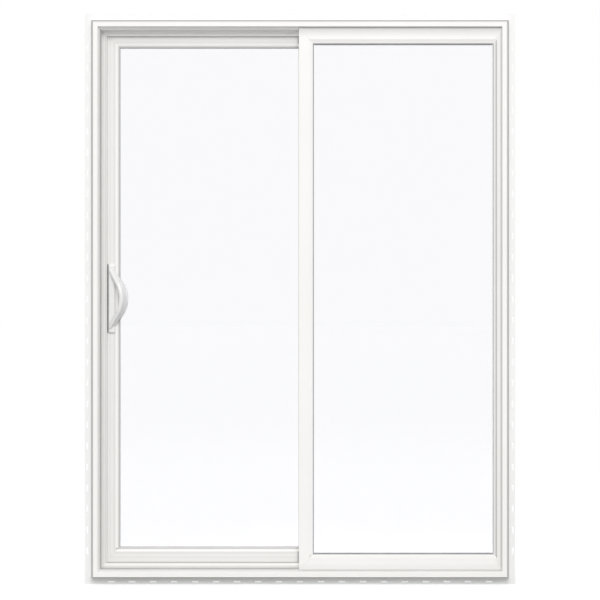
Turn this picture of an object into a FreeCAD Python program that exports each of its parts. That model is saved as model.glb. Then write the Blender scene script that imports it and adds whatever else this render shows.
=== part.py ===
import FreeCAD, Part
import math
import os
import Sketcher

# Two-panel sliding patio door, seen from outdoors: the left panel slides to the right
# behind the fixed one. X runs across the door, Y from outdoors to indoors, Z up.
# The origin lies on the back face of the sill's nailing fin, at mid-height of the fin.

Vector = FreeCAD.Vector
doc = FreeCAD.newDocument("patio_door")
sheet = doc.addObject("Spreadsheet::Sheet", "Sizes")

# Driving dimensions in millimetres and degrees
SIZES = {
    # Welded outer frame; reaches are measured inward from its outer edge
    "door_width": 1511.3,
    "door_height": 2019.3,
    "frame_depth": 116.0,
    "fin_setback": 35.0,
    "lip_reach": 24.0,
    "lip_depth": 9.0,
    "floor_reach": 18.0,
    "rib_reach": 53.5,
    "rib_depth": 6.0,
    "inner_leg_reach": 50.0,
    "frame_edge": 1.2,
    "outer_edge_reach": 3.0,
    "outer_edge_depth": 6.0,
    "face_groove_reach": 11.0,
    "face_groove_width": 1.6,
    "face_groove_depth": 0.8,
    # Nailing fin round the frame
    "fin_reach": 25.4,
    "fin_thickness": 2.0,
    "slot_length": 25.0,
    "slot_width": 6.0,
    "slot_end_inset": 0.6,
    "slot_end_half": 1.8,
    "slot_pitch": 76.2,
    "slot_reach": 17.0,
    "slot_end_margin": 45.0,
    "fixing_slots_across": 4,
    "fixing_slots_up": 2,
    # Panels
    "panel_thickness": 37.0,
    "panel_edge": 1.2,
    "rail_width": 65.5,
    "lock_stile_width": 65.0,
    "interlock_width": 51.0,
    "fixed_stile_width": 36.0,
    "fixed_seat_gap": 0.3,
    "fixed_front_gap": 2.0,
    "fixed_back_gap": 0.5,
    "interlock_from_centre": 4.3,
    "sliding_side_reach": 34.0,
    "sliding_top_reach": 29.2,
    "sliding_bottom_reach": 39.5,
    "running_gap": 5.0,
    # Sealed glass units, beads and gaskets
    "bead_width": 14.0,
    "bead_depth": 8.4,
    "bead_slope": 3.6,
    "bead_set_back": 0.6,
    "bead_rim": 2.0,
    "glass_front": 9.0,
    "pane_thickness": 4.0,
    "glass_space": 12.0,
    "glass_bite": 10.0,
    "spacer_width": 7.0,
    "leg_gap": 0.3,
    "gasket_width": 4.0,
    "gasket_thickness": 1.6,
    # Channel covers on the sliding side
    "cover_reach": 34.4,
    "cover_bevel": 9.0,
    "cover_gap": 0.3,
    # Roller rail and rollers
    "track_top_reach": 34.0,
    "track_head_width": 5.0,
    "track_web": 2.6,
    "track_flange": 22.0,
    "track_flange_thickness": 2.0,
    "track_head_height": 5.0,
    "track_head_edge": 1.2,
    "roller_gap": 0.3,
    "wheel_radius": 16.0,
    "wheel_groove_depth": 3.5,
    "wheel_groove_width": 6.0,
    "wheel_width": 10.0,
    "axle_radius": 3.0,
    "axle_clearance": 0.1,
    "carriage_length": 70.0,
    "carriage_wall": 2.4,
    "carriage_from_edge": 120.0,
    "roller_groove_width": 19.0,
    "roller_groove_height": 26.0,
    # Interlocks
    "hook_thickness": 2.0,
    "hook_reach": 8.8,
    "hook_lip": 15.0,
    "hook_stagger": 24.0,
    "hook_set_in": 1.0,
    "hook_end_gap": 0.5,
    # Handles, latch and keeper
    "handle_height": 1011.0,
    "handle_backset": 36.8,
    "backplate_width": 24.4,
    "backplate_length": 249.0,
    "backplate_thickness": 9.0,
    "corner_round": 5.0,
    "rim_round": 5.0,
    "grip_apex": 67.3,
    "grip_half_length": 100.0,
    "grip_turn_radius": 60.0,
    "grip_angle": 38.0,
    "grip_width": 34.0,
    "grip_thickness": 17.0,
    "grip_front_round": 7.0,
    "grip_back_edge": 2.0,
    "handle_room": 80.55,
    "thumb_turn_length": 36.0,
    "thumb_turn_width": 9.0,
    "thumb_turn_tip": 6.3,
    "thumb_turn_rise": 16.0,
    "thumb_boss_radius": 9.0,
    "thumb_boss_rise": 5.3,
    "faceplate_length": 170.0,
    "faceplate_width": 20.0,
    "faceplate_thickness": 2.0,
    "keeper_length": 120.0,
    "keeper_width": 26.0,
    "keeper_thickness": 2.5,
    "keeper_slot_length": 46.0,
    "keeper_slot_width": 9.0,
    # Stop and weatherstrips
    "stop_length": 20.0,
    "stop_depth": 30.0,
    "stop_reach": 46.0,
    "strip_reach": 42.0,
    "strip_width": 7.0,
    "strip_gap": 0.5,
}

# Places worked out from the driving dimensions, on the frame's depth and reach
DERIVED = {
    "frame_bottom": "fin_reach / 2",
    "frame_middle": "frame_bottom + door_height / 2",
    "half_width": "door_width / 2",
    "front": "-fin_setback",
    "channel_depth": "fixed_front_gap + panel_thickness + fixed_back_gap",
    "fixed_depth": "lip_depth + fixed_front_gap",
    "fixed_back": "fixed_depth + panel_thickness",
    "rib_front": "lip_depth + channel_depth",
    "rib_back": "rib_front + rib_depth",
    "sliding_depth": "rib_back + running_gap",
    "sliding_back": "sliding_depth + panel_thickness",
    "inner_leg_front": "sliding_back + running_gap",
    "track_middle": "sliding_depth + panel_thickness / 2",
    "glass_back": "glass_front + 2 * pane_thickness + glass_space",
    "leg_front": "glass_back + leg_gap",
    "fixed_reach": "floor_reach + fixed_seat_gap",
    "fixed_left": "-interlock_from_centre",
    "fixed_right": "half_width - fixed_reach",
    "fixed_bottom": "frame_bottom + fixed_reach",
    "fixed_top": "frame_bottom + door_height - fixed_reach",
    "sliding_left": "-half_width + sliding_side_reach",
    "sliding_right": "fixed_left + interlock_width",
    "sliding_bottom": "frame_bottom + sliding_bottom_reach",
    "sliding_top": "frame_bottom + door_height - sliding_top_reach",
    "wheel_seat_radius": "wheel_radius - wheel_groove_depth",
    "wheel_centre": "frame_bottom + track_top_reach + roller_gap + wheel_seat_radius",
    "handle_middle": "frame_bottom + handle_height",
    "handle_across": "sliding_left + handle_backset",
    "travel": "fixed_left - handle_across - handle_room",
}


def fill_sheet():
    """Put every driving dimension, then every derived one, in the sheet."""
    row = 1
    for alias, value in SIZES.items():
        sheet.set(f"A{row}", alias)
        sheet.set(f"B{row}", str(value))
        sheet.setAlias(f"B{row}", alias)
        row += 1
    for alias, formula in DERIVED.items():
        sheet.set(f"A{row}", alias)
        sheet.set(f"B{row}", "=" + formula)
        sheet.setAlias(f"B{row}", alias)
        row += 1
    doc.recompute()


fill_sheet()


def size(alias):
    """One value of the sheet, as a number."""
    return float(sheet.get(alias))


NAMES = {**SIZES, **DERIVED}

# How far a cutting shape runs past what it cuts
OVERRUN = 10


def bound(formula):
    """A formula of sheet names, written as an expression that other objects can use."""
    words = []
    word = ""
    for letter in str(formula) + " ":
        if letter.isalnum() or letter == "_":
            word += letter
            continue
        words.append("Sizes." + word if word in NAMES else word)
        words.append(letter)
        word = ""
    return "".join(words).strip()


def number(formula):
    """The present value of a formula of sheet names."""
    value = sheet.evalExpression(str(formula))
    return float(getattr(value, "Value", value))


def place(thing, across="0", depth="0", up="0", turn=None):
    """Tie a body's place to the sizes, after an optional turn (axis, degrees)."""
    rotation = FreeCAD.Rotation(turn[0], turn[1]) if turn else FreeCAD.Rotation()
    base = Vector(number(across), number(depth), number(up))
    thing.Placement = FreeCAD.Placement(base, rotation)
    thing.setExpression(".Placement.Base.x", bound(across))
    thing.setExpression(".Placement.Base.y", bound(depth))
    thing.setExpression(".Placement.Base.z", bound(up))


def new_body(label):
    body = doc.addObject("PartDesign::Body", label)
    body.Label = label
    return body


def new_sketch(body, name, role):
    """An empty sketch on one of the body's own origin planes."""
    sketch = body.newObject("Sketcher::SketchObject", name)
    plane = [item for item in body.Origin.OriginFeatures if item.Role == role][0]
    sketch.AttachmentSupport = [(plane, "")]
    sketch.MapMode = "FlatFace"
    return sketch


def pin_point(sketch, geometry, point, across, up):
    """Tie one point of a sketch to formulas of sheet names."""
    for kind, formula in (("DistanceX", across), ("DistanceY", up)):
        rule = Sketcher.Constraint(kind, -1, 1, geometry, point, number(formula))
        index = sketch.addConstraint(rule)
        name = f"{kind[-1].lower()}_{geometry}_{point}"
        sketch.renameConstraint(index, name)
        sketch.setExpression("Constraints." + name, bound(formula))


def outline(sketch, corners):
    """A closed outline of straight lines through corners given as pairs of formulas."""
    first = sketch.GeometryCount
    total = len(corners)
    points = [Vector(number(across), number(up), 0) for across, up in corners]
    for index in range(total):
        line = Part.LineSegment(points[index], points[(index + 1) % total])
        sketch.addGeometry(line, False)
    for index in range(total):
        after = first + (index + 1) % total
        sketch.addConstraint(Sketcher.Constraint("Coincident", first + index, 2, after, 1))
    for index, (across, up) in enumerate(corners):
        pin_point(sketch, first + index, 1, across, up)


def stadium(sketch, one, other, radius):
    """A slot outline: two half circles about the given centres, and their tangent lines."""
    centres = [Vector(number(across), number(up), 0) for across, up in (one, other)]
    run = centres[1] - centres[0]
    heading = math.atan2(run.y, run.x)
    arcs = []
    for centre, turn in zip(centres, (math.pi / 2, -math.pi / 2)):
        circle = Part.Circle(centre, Vector(0, 0, 1), number(radius))
        arcs.append(Part.ArcOfCircle(circle, heading + turn, heading + turn + math.pi))
    lines = [Part.LineSegment(arcs[0].EndPoint, arcs[1].StartPoint),
             Part.LineSegment(arcs[1].EndPoint, arcs[0].StartPoint)]
    sketch.addGeometry([arcs[0], lines[0], arcs[1], lines[1]], False)
    for near, far in ((0, 1), (1, 2), (2, 3), (3, 0)):
        sketch.addConstraint(Sketcher.Constraint("Tangent", near, 2, far, 1))
    sketch.addConstraint(Sketcher.Constraint("Equal", 0, 2))
    pin_point(sketch, 0, 3, *one)
    pin_point(sketch, 2, 3, *other)
    pin_radius(sketch, 0, radius)


def pin_radius(sketch, geometry, radius):
    """Tie a circle's or an arc's radius to a formula of sheet names."""
    rule = Sketcher.Constraint("Radius", geometry, number(radius))
    name = f"radius_{geometry}"
    sketch.renameConstraint(sketch.addConstraint(rule), name)
    sketch.setExpression("Constraints." + name, bound(radius))


def centred_circle(sketch, radius):
    """A circle about the sketch's own origin."""
    circle = Part.Circle(Vector(0, 0, 0), Vector(0, 0, 1), size(radius))
    sketch.addGeometry(circle, False)
    sketch.addConstraint(Sketcher.Constraint("Coincident", 0, 3, -1, 1))
    pin_radius(sketch, 0, radius)


def box_corners(left, right, low, high):
    return [(left, low), (right, low), (right, high), (left, high)]


def pad(body, sketch, name, length, middle=False):
    """Raise a sketch; a middle pad grows evenly to both sides of its plane."""
    feature = body.newObject("PartDesign::Pad", name)
    feature.Profile = sketch
    feature.Length = number(length)
    feature.setExpression("Length", bound(length))
    feature.SideType = "Symmetric" if middle else "One side"
    sketch.Visibility = False
    return feature


def cut_through(body, sketch, name):
    """Cut a sketch right through the body, both ways."""
    doc.recompute()
    before = body.Shape.Volume
    feature = body.newObject("PartDesign::Pocket", name)
    feature.Profile = sketch
    feature.Type = "ThroughAll"
    feature.SideType = "Symmetric"
    doc.recompute()
    if not body.Shape.Volume < before:
        raise RuntimeError(f"{name} of {body.Label} cut nothing")
    return feature


SIDES = {
    "bottom": None,
    "top": (Vector(0, 1, 0), 180),
    "left": (Vector(0, 1, 0), 90),
    "right": (Vector(0, 1, 0), -90),
}


def bar(label, side, section, length, start="0", end="0", reach="rib_reach", where=None):
    """A straight member: its section runs along X, and its ends are cut on a slant.

    The section is in depth and inward reach. A slant is given as the neighbour's
    reach for each unit of this bar's own reach, so 1 is a mitre at 45 degrees and 0
    a square end. The start is the left end of a bottom bar, and the bars of the
    other sides are that bar turned about the depth axis.
    """
    body = new_body(label)
    sketch = new_sketch(body, label + "_section", "YZ_Plane")
    outline(sketch, section)
    pad(body, sketch, label + "_run", length, middle=True)
    half = f"({length}) / 2"
    slants = new_sketch(body, label + "_slants", "XZ_Plane")
    used = False
    for sign, slant in ((-1, start), (1, end)):
        if number(slant) == 0:
            continue
        used = True
        past = f"{sign} * ({half} + {OVERRUN} * (1 + {slant}))"
        outline(slants, [
            (f"{sign} * ({half} + {OVERRUN} * {slant})", f"-{OVERRUN}"),
            (f"{sign} * ({half} - ({reach} + {OVERRUN}) * {slant})", f"{reach} + {OVERRUN}"),
            (past, f"{reach} + {OVERRUN}"),
            (past, f"-{OVERRUN}"),
        ])
    if used:
        cut_through(body, slants, label + "_mitres")
    else:
        body.removeObject(slants)
        doc.removeObject(slants.Name)
    across, depth, up = where
    place(body, across, depth, up, SIDES[side])
    return body


def frame_section():
    """Outdoor lip, channel of the fixed panel, middle rib, running channel, indoor leg.

    The outdoor face has a steep outer edge and a fine groove round the whole frame.
    """
    edge = "frame_edge"
    half_groove = "face_groove_width / 2"
    return [
        ("outer_edge_depth", "0"),
        ("0", "outer_edge_reach"),
        ("0", f"face_groove_reach - {half_groove}"),
        ("face_groove_depth", "face_groove_reach"),
        ("0", f"face_groove_reach + {half_groove}"),
        ("0", f"lip_reach - {edge}"),
        (edge, "lip_reach"),
        ("lip_depth", "lip_reach"),
        ("lip_depth", "floor_reach"),
        ("rib_front", "floor_reach"),
        ("rib_front", f"rib_reach - {edge}"),
        (f"rib_front + {edge}", "rib_reach"),
        (f"rib_back - {edge}", "rib_reach"),
        ("rib_back", f"rib_reach - {edge}"),
        ("rib_back", "floor_reach"),
        ("inner_leg_front", "floor_reach"),
        ("inner_leg_front", f"inner_leg_reach - {edge}"),
        (f"inner_leg_front + {edge}", "inner_leg_reach"),
        (f"frame_depth - {edge}", "inner_leg_reach"),
        ("frame_depth", f"inner_leg_reach - {edge}"),
        ("frame_depth", "0"),
    ]


def make_frame():
    section = frame_section()
    top = "frame_bottom + door_height"
    places = {
        "sill": ("bottom", "door_width", ("0", "front", "frame_bottom")),
        "head": ("top", "door_width", ("0", "front", top)),
        "lock_jamb": ("left", "door_height", ("-half_width", "front", "frame_middle")),
        "fixed_jamb": ("right", "door_height", ("half_width", "front", "frame_middle")),
    }
    for label, (side, length, where) in places.items():
        bar(label, side, section, length, "1", "1", "rib_reach", where)


def slot_row(body, name, draw, count, pitch):
    """A row of like slots along the fin, evenly about its middle."""
    slot = new_sketch(body, f"{body.Label}_{name}", "XZ_Plane")
    first = f"-({pitch}) * (({count}) - 1) / 2"
    reach = "slot_length / 2"
    draw(slot, f"{first} - {reach}", f"{first} + {reach}")
    hole = cut_through(body, slot, f"{body.Label}_first_{name}")
    row = body.newObject("PartDesign::LinearPattern", f"{body.Label}_{name}_row")
    row.Originals = [hole]
    row.Direction = (slot, ["H_Axis"])
    row.setExpression("Length", bound(f"({pitch}) * (({count}) - 1)"))
    row.setExpression("Occurrences", bound(count))
    body.Tip = row


def eight_sided_slot(sketch, left, right):
    """A nail slot with blunt ends, whose corners lie on the outline of a round-ended one."""
    half = "slot_width / 2"
    inset = "slot_end_inset"
    blunt = "slot_end_half"
    outline(sketch, [
        (f"{left} + {inset}", f"-slot_reach - {blunt}"),
        (f"{left} + {half}", f"-slot_reach - {half}"),
        (f"{right} - {half}", f"-slot_reach - {half}"),
        (f"{right} - {inset}", f"-slot_reach - {blunt}"),
        (f"{right} - {inset}", f"-slot_reach + {blunt}"),
        (f"{right} - {half}", f"-slot_reach + {half}"),
        (f"{left} + {half}", f"-slot_reach + {half}"),
        (f"{left} + {inset}", f"-slot_reach + {blunt}"),
    ])


def round_ended_slot(sketch, left, right):
    """A slot with half-round ends, for the screws that hang the door."""
    half = "slot_width / 2"
    stadium(sketch, (f"{left} + {half}", "-slot_reach"), (f"{right} - {half}", "-slot_reach"),
            half)


def make_fin(label, side, length, where, slots_over, fixings):
    """A strip of nailing fin with a row of slots, its back face on the origin plane."""
    body = new_body(label)
    plate = new_sketch(body, label + "_plate", "XZ_Plane")
    outline(plate, box_corners(f"-({length}) / 2", f"({length}) / 2", "-fin_reach", "0"))
    pad(body, plate, label + "_sheet", "fin_thickness")
    pitches = f"(2 * floor(({slots_over} / 2 - slot_end_margin) / slot_pitch))"
    slot_row(body, "nail_slot", eight_sided_slot, f"{pitches} + 1", "slot_pitch")
    slot_row(body, "fixing_slot", round_ended_slot, fixings,
             f"slot_pitch * {pitches} / ({fixings} - 1)")
    across, up = where
    place(body, across, "0", up, SIDES[side])
    return body


def make_fins():
    wide = "door_width + 2 * fin_reach"
    tall = "door_height"
    top = "frame_bottom + door_height"
    across = "fixing_slots_across"
    make_fin("nail_fin_sill", "bottom", wide, ("0", "frame_bottom"), "door_width", across)
    make_fin("nail_fin_head", "top", wide, ("0", top), "door_width", across)
    up = "fixing_slots_up"
    make_fin("nail_fin_left", "left", tall, ("-half_width", "frame_middle"), tall, up)
    make_fin("nail_fin_right", "right", tall, ("half_width", "frame_middle"), tall, up)


def cover_section():
    """A channel cover: a block on the channel's floor with a long bevel towards outdoors."""
    return [
        ("lip_depth", "floor_reach"),
        ("lip_depth", "cover_reach - cover_bevel"),
        ("lip_depth + cover_bevel", "cover_reach"),
        ("rib_front - cover_gap", "cover_reach"),
        ("rib_front - cover_gap", "floor_reach"),
    ]


def make_covers():
    section = cover_section()
    run = "half_width - interlock_from_centre - cover_gap"
    middle = "-(half_width + interlock_from_centre + cover_gap) / 2"
    reach = "cover_reach"
    top = "frame_bottom + door_height"
    bar("sill_cover", "bottom", section, run, "1", "0", reach, (middle, "front", "frame_bottom"))
    bar("head_cover", "top", section, run, "0", "1", reach, (middle, "front", top))
    bar("jamb_cover", "left", section, "door_height", "1", "1", reach,
        ("-half_width", "front", "frame_middle"))


def panel_section(width):
    """A stile or rail: full thickness, then the indoor leg that the glass rests against."""
    edge = "panel_edge"
    shoulder = f"{width} - bead_width"
    return [
        ("0", edge),
        ("0", shoulder),
        ("leg_front", shoulder),
        ("leg_front", width),
        (f"panel_thickness - {edge}", width),
        ("panel_thickness", f"{width} - {edge}"),
        ("panel_thickness", edge),
        (f"panel_thickness - {edge}", "0"),
        (edge, "0"),
    ]


def grooved_section(width):
    """The sliding panel's bottom rail, open underneath for the rollers."""
    corners = panel_section(width)
    near = "(panel_thickness - roller_groove_width) / 2"
    far = "(panel_thickness + roller_groove_width) / 2"
    groove = [
        (far, "0"),
        (far, "roller_groove_height"),
        (near, "roller_groove_height"),
        (near, "0"),
    ]
    return corners[:-1] + groove + corners[-1:]


def make_panel(name, left, right, low, high, depth, left_width, right_width, left_label,
               right_label, bottom_section):
    """Four welded members of one panel, mitred from outer to inner corner."""
    width = f"({right}) - ({left})"
    height = f"({high}) - ({low})"
    across = f"(({right}) + ({left})) / 2"
    up = f"(({high}) + ({low})) / 2"
    front = f"front + {depth}"
    rail = "rail_width"
    from_left = f"{left_width} / {rail}"
    from_right = f"{right_width} / {rail}"
    bar(f"{name}_bottom_rail", "bottom", bottom_section, width, from_left, from_right, rail,
        (across, front, low))
    bar(f"{name}_top_rail", "top", panel_section(rail), width, from_right, from_left, rail,
        (across, front, high))
    bar(left_label, "left", panel_section(left_width), height, f"{rail} / {left_width}",
        f"{rail} / {left_width}", left_width, (left, front, up))
    bar(right_label, "right", panel_section(right_width), height, f"{rail} / {right_width}",
        f"{rail} / {right_width}", right_width, (right, front, up))


def ring(label, left, right, low, high, width, depth, thickness):
    """A flat rectangular ring, given by its outer edges and its width."""
    body = new_body(label)
    sketch = new_sketch(body, label + "_outline", "XZ_Plane")
    outline(sketch, box_corners(left, right, low, high))
    outline(sketch, box_corners(f"({left}) + {width}", f"({right}) - {width}",
                                f"({low}) + {width}", f"({high}) - {width}"))
    feature = pad(body, sketch, label + "_sheet", thickness)
    feature.Reversed = True
    place(body, "0", depth, "0")
    return body


def slab(label, left, right, low, high, depth, thickness):
    """A flat sheet, given by its edges in the door's plane and its outdoor face."""
    body = new_body(label)
    sketch = new_sketch(body, label + "_outline", "XZ_Plane")
    outline(sketch, box_corners(left, right, low, high))
    feature = pad(body, sketch, label + "_sheet", thickness)
    feature.Reversed = True
    place(body, "0", depth, "0")
    return body


def make_glazing(name, left, right, low, high, depth):
    """Two panes, their spacer, the bead and the gasket; edges are the glass's sight lines."""
    bite = "glass_bite"
    pane = (f"({left}) - {bite}", f"({right}) + {bite}", f"({low}) - {bite}", f"({high}) + {bite}")
    front = f"front + {depth} + glass_front"
    slab(f"{name}_outer_pane", *pane, front, "pane_thickness")
    slab(f"{name}_inner_pane", *pane, f"{front} + pane_thickness + glass_space",
         "pane_thickness")
    ring(f"{name}_spacer", *pane, "spacer_width", f"{front} + pane_thickness", "glass_space")
    bead = "bead_width"
    bead_edges = (f"({left}) - {bead}", f"({right}) + {bead}", f"({low}) - {bead}",
                  f"({high}) + {bead}")
    body = ring(f"{name}_glazing_bead", *bead_edges, bead,
                f"front + {depth} + bead_set_back", "bead_depth - bead_set_back")
    slope_bead(body, bead_edges)
    gasket = "gasket_width"
    ring(f"{name}_gasket", left, right, low, high, gasket,
         f"{front} - gasket_thickness", "gasket_thickness")


def slope_bead(body, edges):
    """Slope the bead's outdoor face down towards the glass, inside a narrow flat rim."""
    left, right, low, high = edges
    mouths = []
    for name, inset, back in (("rim", "bead_rim", "0"), ("foot", "bead_width", "bead_slope")):
        mouth = new_sketch(body, f"{body.Label}_{name}", "XZ_Plane")
        mouth.setExpression(".AttachmentOffset.Base.z", bound(f"-({back})"))
        outline(mouth, box_corners(f"({left}) + {inset}", f"({right}) - {inset}",
                                   f"({low}) + {inset}", f"({high}) - {inset}"))
        mouths.append(mouth)
    doc.recompute()
    before = body.Shape.Volume
    slope = body.newObject("PartDesign::SubtractiveLoft", body.Label + "_slope")
    slope.Profile = mouths[0]
    slope.Sections = mouths[1:]
    slope.Ruled = True
    doc.recompute()
    if not body.Shape.Volume < before:
        raise RuntimeError(f"{body.Label} kept its flat face")


def make_track():
    """The roller rail: a flange on the sill's floor, a web and a rounded head."""
    body = new_body("roller_rail")
    sketch = new_sketch(body, "roller_rail_section", "YZ_Plane")
    half_flange = "track_flange / 2"
    half_web = "track_web / 2"
    half_head = "track_head_width / 2"
    flange_top = "floor_reach + track_flange_thickness"
    neck = "track_top_reach - track_head_height"
    edge = "track_head_edge"
    corners = [
        (f"-{half_flange}", "floor_reach"),
        (f"-{half_flange}", flange_top),
        (f"-{half_web}", flange_top),
        (f"-{half_web}", neck),
        (f"-{half_head}", f"{neck} + {edge}"),
        (f"-{half_head}", f"track_top_reach - {edge}"),
        (f"-({half_head} - {edge})", "track_top_reach"),
    ]
    mirrored = [(across[1:], up) for across, up in corners]
    outline(sketch, corners + mirrored[::-1])
    run = "door_width - 2 * floor_reach"
    pad(body, sketch, "roller_rail_run", run, middle=True)
    place(body, "0", "front + track_middle", "frame_bottom")


def make_roller(name, across):
    """A grooved wheel on an axle in a folded carriage."""
    wheel = new_body(f"{name}_wheel")
    sketch = new_sketch(wheel, f"{name}_wheel_section", "XZ_Plane")
    half = "wheel_width / 2"
    groove = "wheel_groove_width / 2"
    bore = "axle_radius + axle_clearance"
    outline(sketch, [
        (bore, f"-{half}"),
        ("wheel_radius", f"-{half}"),
        ("wheel_radius", f"-{groove}"),
        ("wheel_seat_radius", f"-{groove}"),
        ("wheel_seat_radius", groove),
        ("wheel_radius", groove),
        ("wheel_radius", half),
        (bore, half),
    ])
    turned = wheel.newObject("PartDesign::Revolution", f"{name}_wheel_turned")
    turned.Profile = sketch
    turned.ReferenceAxis = (sketch, ["V_Axis"])
    turned.Angle = 360
    place(wheel, across, "front + track_middle", "wheel_centre", (Vector(1, 0, 0), 90))

    carriage = new_body(f"{name}_carriage")
    block = new_sketch(carriage, f"{name}_carriage_outline", "XZ_Plane")
    low = "sliding_bottom + panel_edge - wheel_centre"
    high = "sliding_bottom + roller_groove_height - roller_gap - wheel_centre"
    length = "carriage_length / 2"
    outline(block, box_corners(f"-{length}", length, low, high))
    width = "roller_groove_width - 2 * roller_gap"
    pad(carriage, block, f"{name}_carriage_block", width, middle=True)
    hollow = new_sketch(carriage, f"{name}_carriage_hollow", "YZ_Plane")
    inner = "(roller_groove_width / 2 - roller_gap - carriage_wall)"
    outline(hollow, box_corners(f"-{inner}", inner, f"{low} - {OVERRUN}",
                                f"{high} - carriage_wall / 2"))
    cut_through(carriage, hollow, f"{name}_carriage_channel")
    axle = new_sketch(carriage, f"{name}_axle_circle", "XZ_Plane")
    centred_circle(axle, "axle_radius")
    pad(carriage, axle, f"{name}_axle", width, middle=True)
    place(carriage, across, "front + track_middle", "wheel_centre")


def make_hook(label, sign, across, depth, low, high):
    """An interlock hook that runs the panel's height: a leg and a lip along X."""
    body = new_body(label)
    sketch = new_sketch(body, label + "_section", "XY_Plane")
    thick = "hook_thickness"
    reach = "hook_reach"
    lip = "hook_lip"
    corners = [
        ("0", "0"),
        ("0", reach),
        (lip, reach),
        (lip, f"{reach} - {thick}"),
        (thick, f"{reach} - {thick}"),
        (thick, "0"),
    ]
    if sign < 0:
        corners = [(f"-({x})", f"-({y})") for x, y in corners]
    outline(sketch, corners)
    pad(body, sketch, label + "_run", f"({high}) - ({low})")
    place(body, across, depth, low)


def grip_outline(sketch, back, front):
    """The grip's section: its outer side rounded at both edges, its inner one chamfered."""
    half = "grip_width / 2"
    round_by = "grip_front_round"
    edge = "grip_back_edge"
    arcs = []
    for sign, start in ((-1, -math.pi / 2), (1, 0)):
        middle = Vector(number(f"{front} - {round_by}"), sign * number(f"{half} - {round_by}"), 0)
        circle = Part.Circle(middle, Vector(0, 0, 1), size(round_by))
        arcs.append(Part.ArcOfCircle(circle, start, start + math.pi / 2))
    ends = [(f"{back} + {edge}", half), (back, f"{half} - {edge}"),
            (back, f"-({half} - {edge})"), (f"{back} + {edge}", f"-{half}")]
    points = [Vector(number(x), number(y), 0) for x, y in ends]
    lines = [Part.LineSegment(*pair) for pair in (
        (points[3], arcs[0].StartPoint), (arcs[0].EndPoint, arcs[1].StartPoint),
        (arcs[1].EndPoint, points[0]), (points[0], points[1]), (points[1], points[2]),
        (points[2], points[3]))]
    sketch.addGeometry([lines[0], arcs[0], lines[1], arcs[1]] + lines[2:], False)
    for near, far in ((0, 1), (1, 2), (2, 3), (3, 4)):
        sketch.addConstraint(Sketcher.Constraint("Tangent", near, 2, far, 1))
    for near, far in ((4, 5), (5, 6), (6, 7), (7, 0)):
        sketch.addConstraint(Sketcher.Constraint("Coincident", near, 2, far, 1))
    for geometry, (x, y) in zip((5, 6, 7, 0), ends):
        pin_point(sketch, geometry, 1, x, y)
    pin_point(sketch, 1, 3, f"{front} - {round_by}", f"-({half} - {round_by})")
    pin_point(sketch, 3, 3, f"{front} - {round_by}", f"{half} - {round_by}")
    pin_radius(sketch, 1, round_by)
    pin_radius(sketch, 3, round_by)


def make_bow(label):
    """Half of the bow swept up from its middle, then mirrored.

    The centre line runs from the apex, rounded to the turn radius, straight to the
    backplate: a flank from (0, half length) towards (apex, 0).
    """
    bow = new_body(label)
    spine = new_sketch(bow, label + "_line", "XZ_Plane")
    apex = size("grip_apex")
    half = size("grip_half_length")
    radius = size("grip_turn_radius")
    lean = math.atan(apex / half)
    middle = apex - radius * (1 / math.cos(lean) - 1)
    knee = Vector(middle - radius * (1 - math.cos(lean)), radius * math.sin(lean), 0)
    beyond = size("grip_thickness") / 2
    foot = Vector(-beyond, half + beyond / math.tan(lean), 0)
    circle = Part.Circle(Vector(middle - radius, 0, 0), Vector(0, 0, 1), radius)
    spine.addGeometry(Part.ArcOfCircle(circle, 0, lean), False)
    spine.addGeometry(Part.LineSegment(knee, foot), False)
    spine.addConstraint(Sketcher.Constraint("Tangent", 0, 2, 1, 1))
    lean_formula = "atan(grip_apex / grip_half_length)"
    centre = f"grip_apex - grip_turn_radius / cos({lean_formula})"
    pin_point(spine, 0, 3, centre, "0")
    pin_radius(spine, 0, "grip_turn_radius")
    pin_point(spine, 1, 2, "-grip_thickness / 2",
              "grip_half_length + grip_thickness / 2 * grip_half_length / grip_apex")
    spine.addConstraint(Sketcher.Constraint("PointOnObject", 0, 1, -1))
    section = new_sketch(bow, label + "_section", "XY_Plane")
    across = f"{centre} + grip_turn_radius"
    grip_outline(section, f"{across} - grip_thickness / 2", f"{across} + grip_thickness / 2")
    doc.recompute()
    sweep = bow.newObject("PartDesign::AdditivePipe", label + "_sweep")
    sweep.Profile = section
    sweep.Spine = (spine, ["Edge1", "Edge2"])
    doc.recompute()
    mirror = bow.newObject("PartDesign::Mirrored", label + "_other_half")
    mirror.Originals = [sweep]
    plane = [item for item in bow.Origin.OriginFeatures if item.Role == "XY_Plane"][0]
    mirror.MirrorPlane = (plane, [""])
    bow.Tip = mirror
    return bow


def bound_box(label, across, depth, up, corner):
    """A plain block: its three lengths and its lowest corner are formulas."""
    block = doc.addObject("Part::Box", label)
    for prop, formula in (("Length", across), ("Width", depth), ("Height", up)):
        block.setExpression(prop, bound(formula))
    for axis, formula in zip("xyz", corner):
        block.setExpression(f".Placement.Base.{axis}", bound(formula))
    return block


def rounded_plate(label, front_sign):
    """The backplate, its four corners and its front rim rounded."""
    low = "-backplate_thickness" if front_sign < 0 else "0"
    plate = bound_box(label, "backplate_width", "backplate_thickness", "backplate_length",
                      ("-backplate_width / 2", low, "-backplate_length / 2"))
    doc.recompute()
    front = front_sign * size("backplate_thickness")
    chosen = []
    for index, edge in enumerate(plate.Shape.Edges):
        box = edge.BoundBox
        if box.YLength > size("backplate_thickness") / 2:
            chosen.append((index + 1, size("corner_round"), size("corner_round")))
        elif abs(box.YMin - front) < 0.01 and abs(box.YMax - front) < 0.01:
            chosen.append((index + 1, size("rim_round"), size("rim_round")))
    rounded = doc.addObject("Part::Fillet", label + "_rounded")
    rounded.Base = plate
    rounded.Edges = chosen
    return rounded


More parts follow.
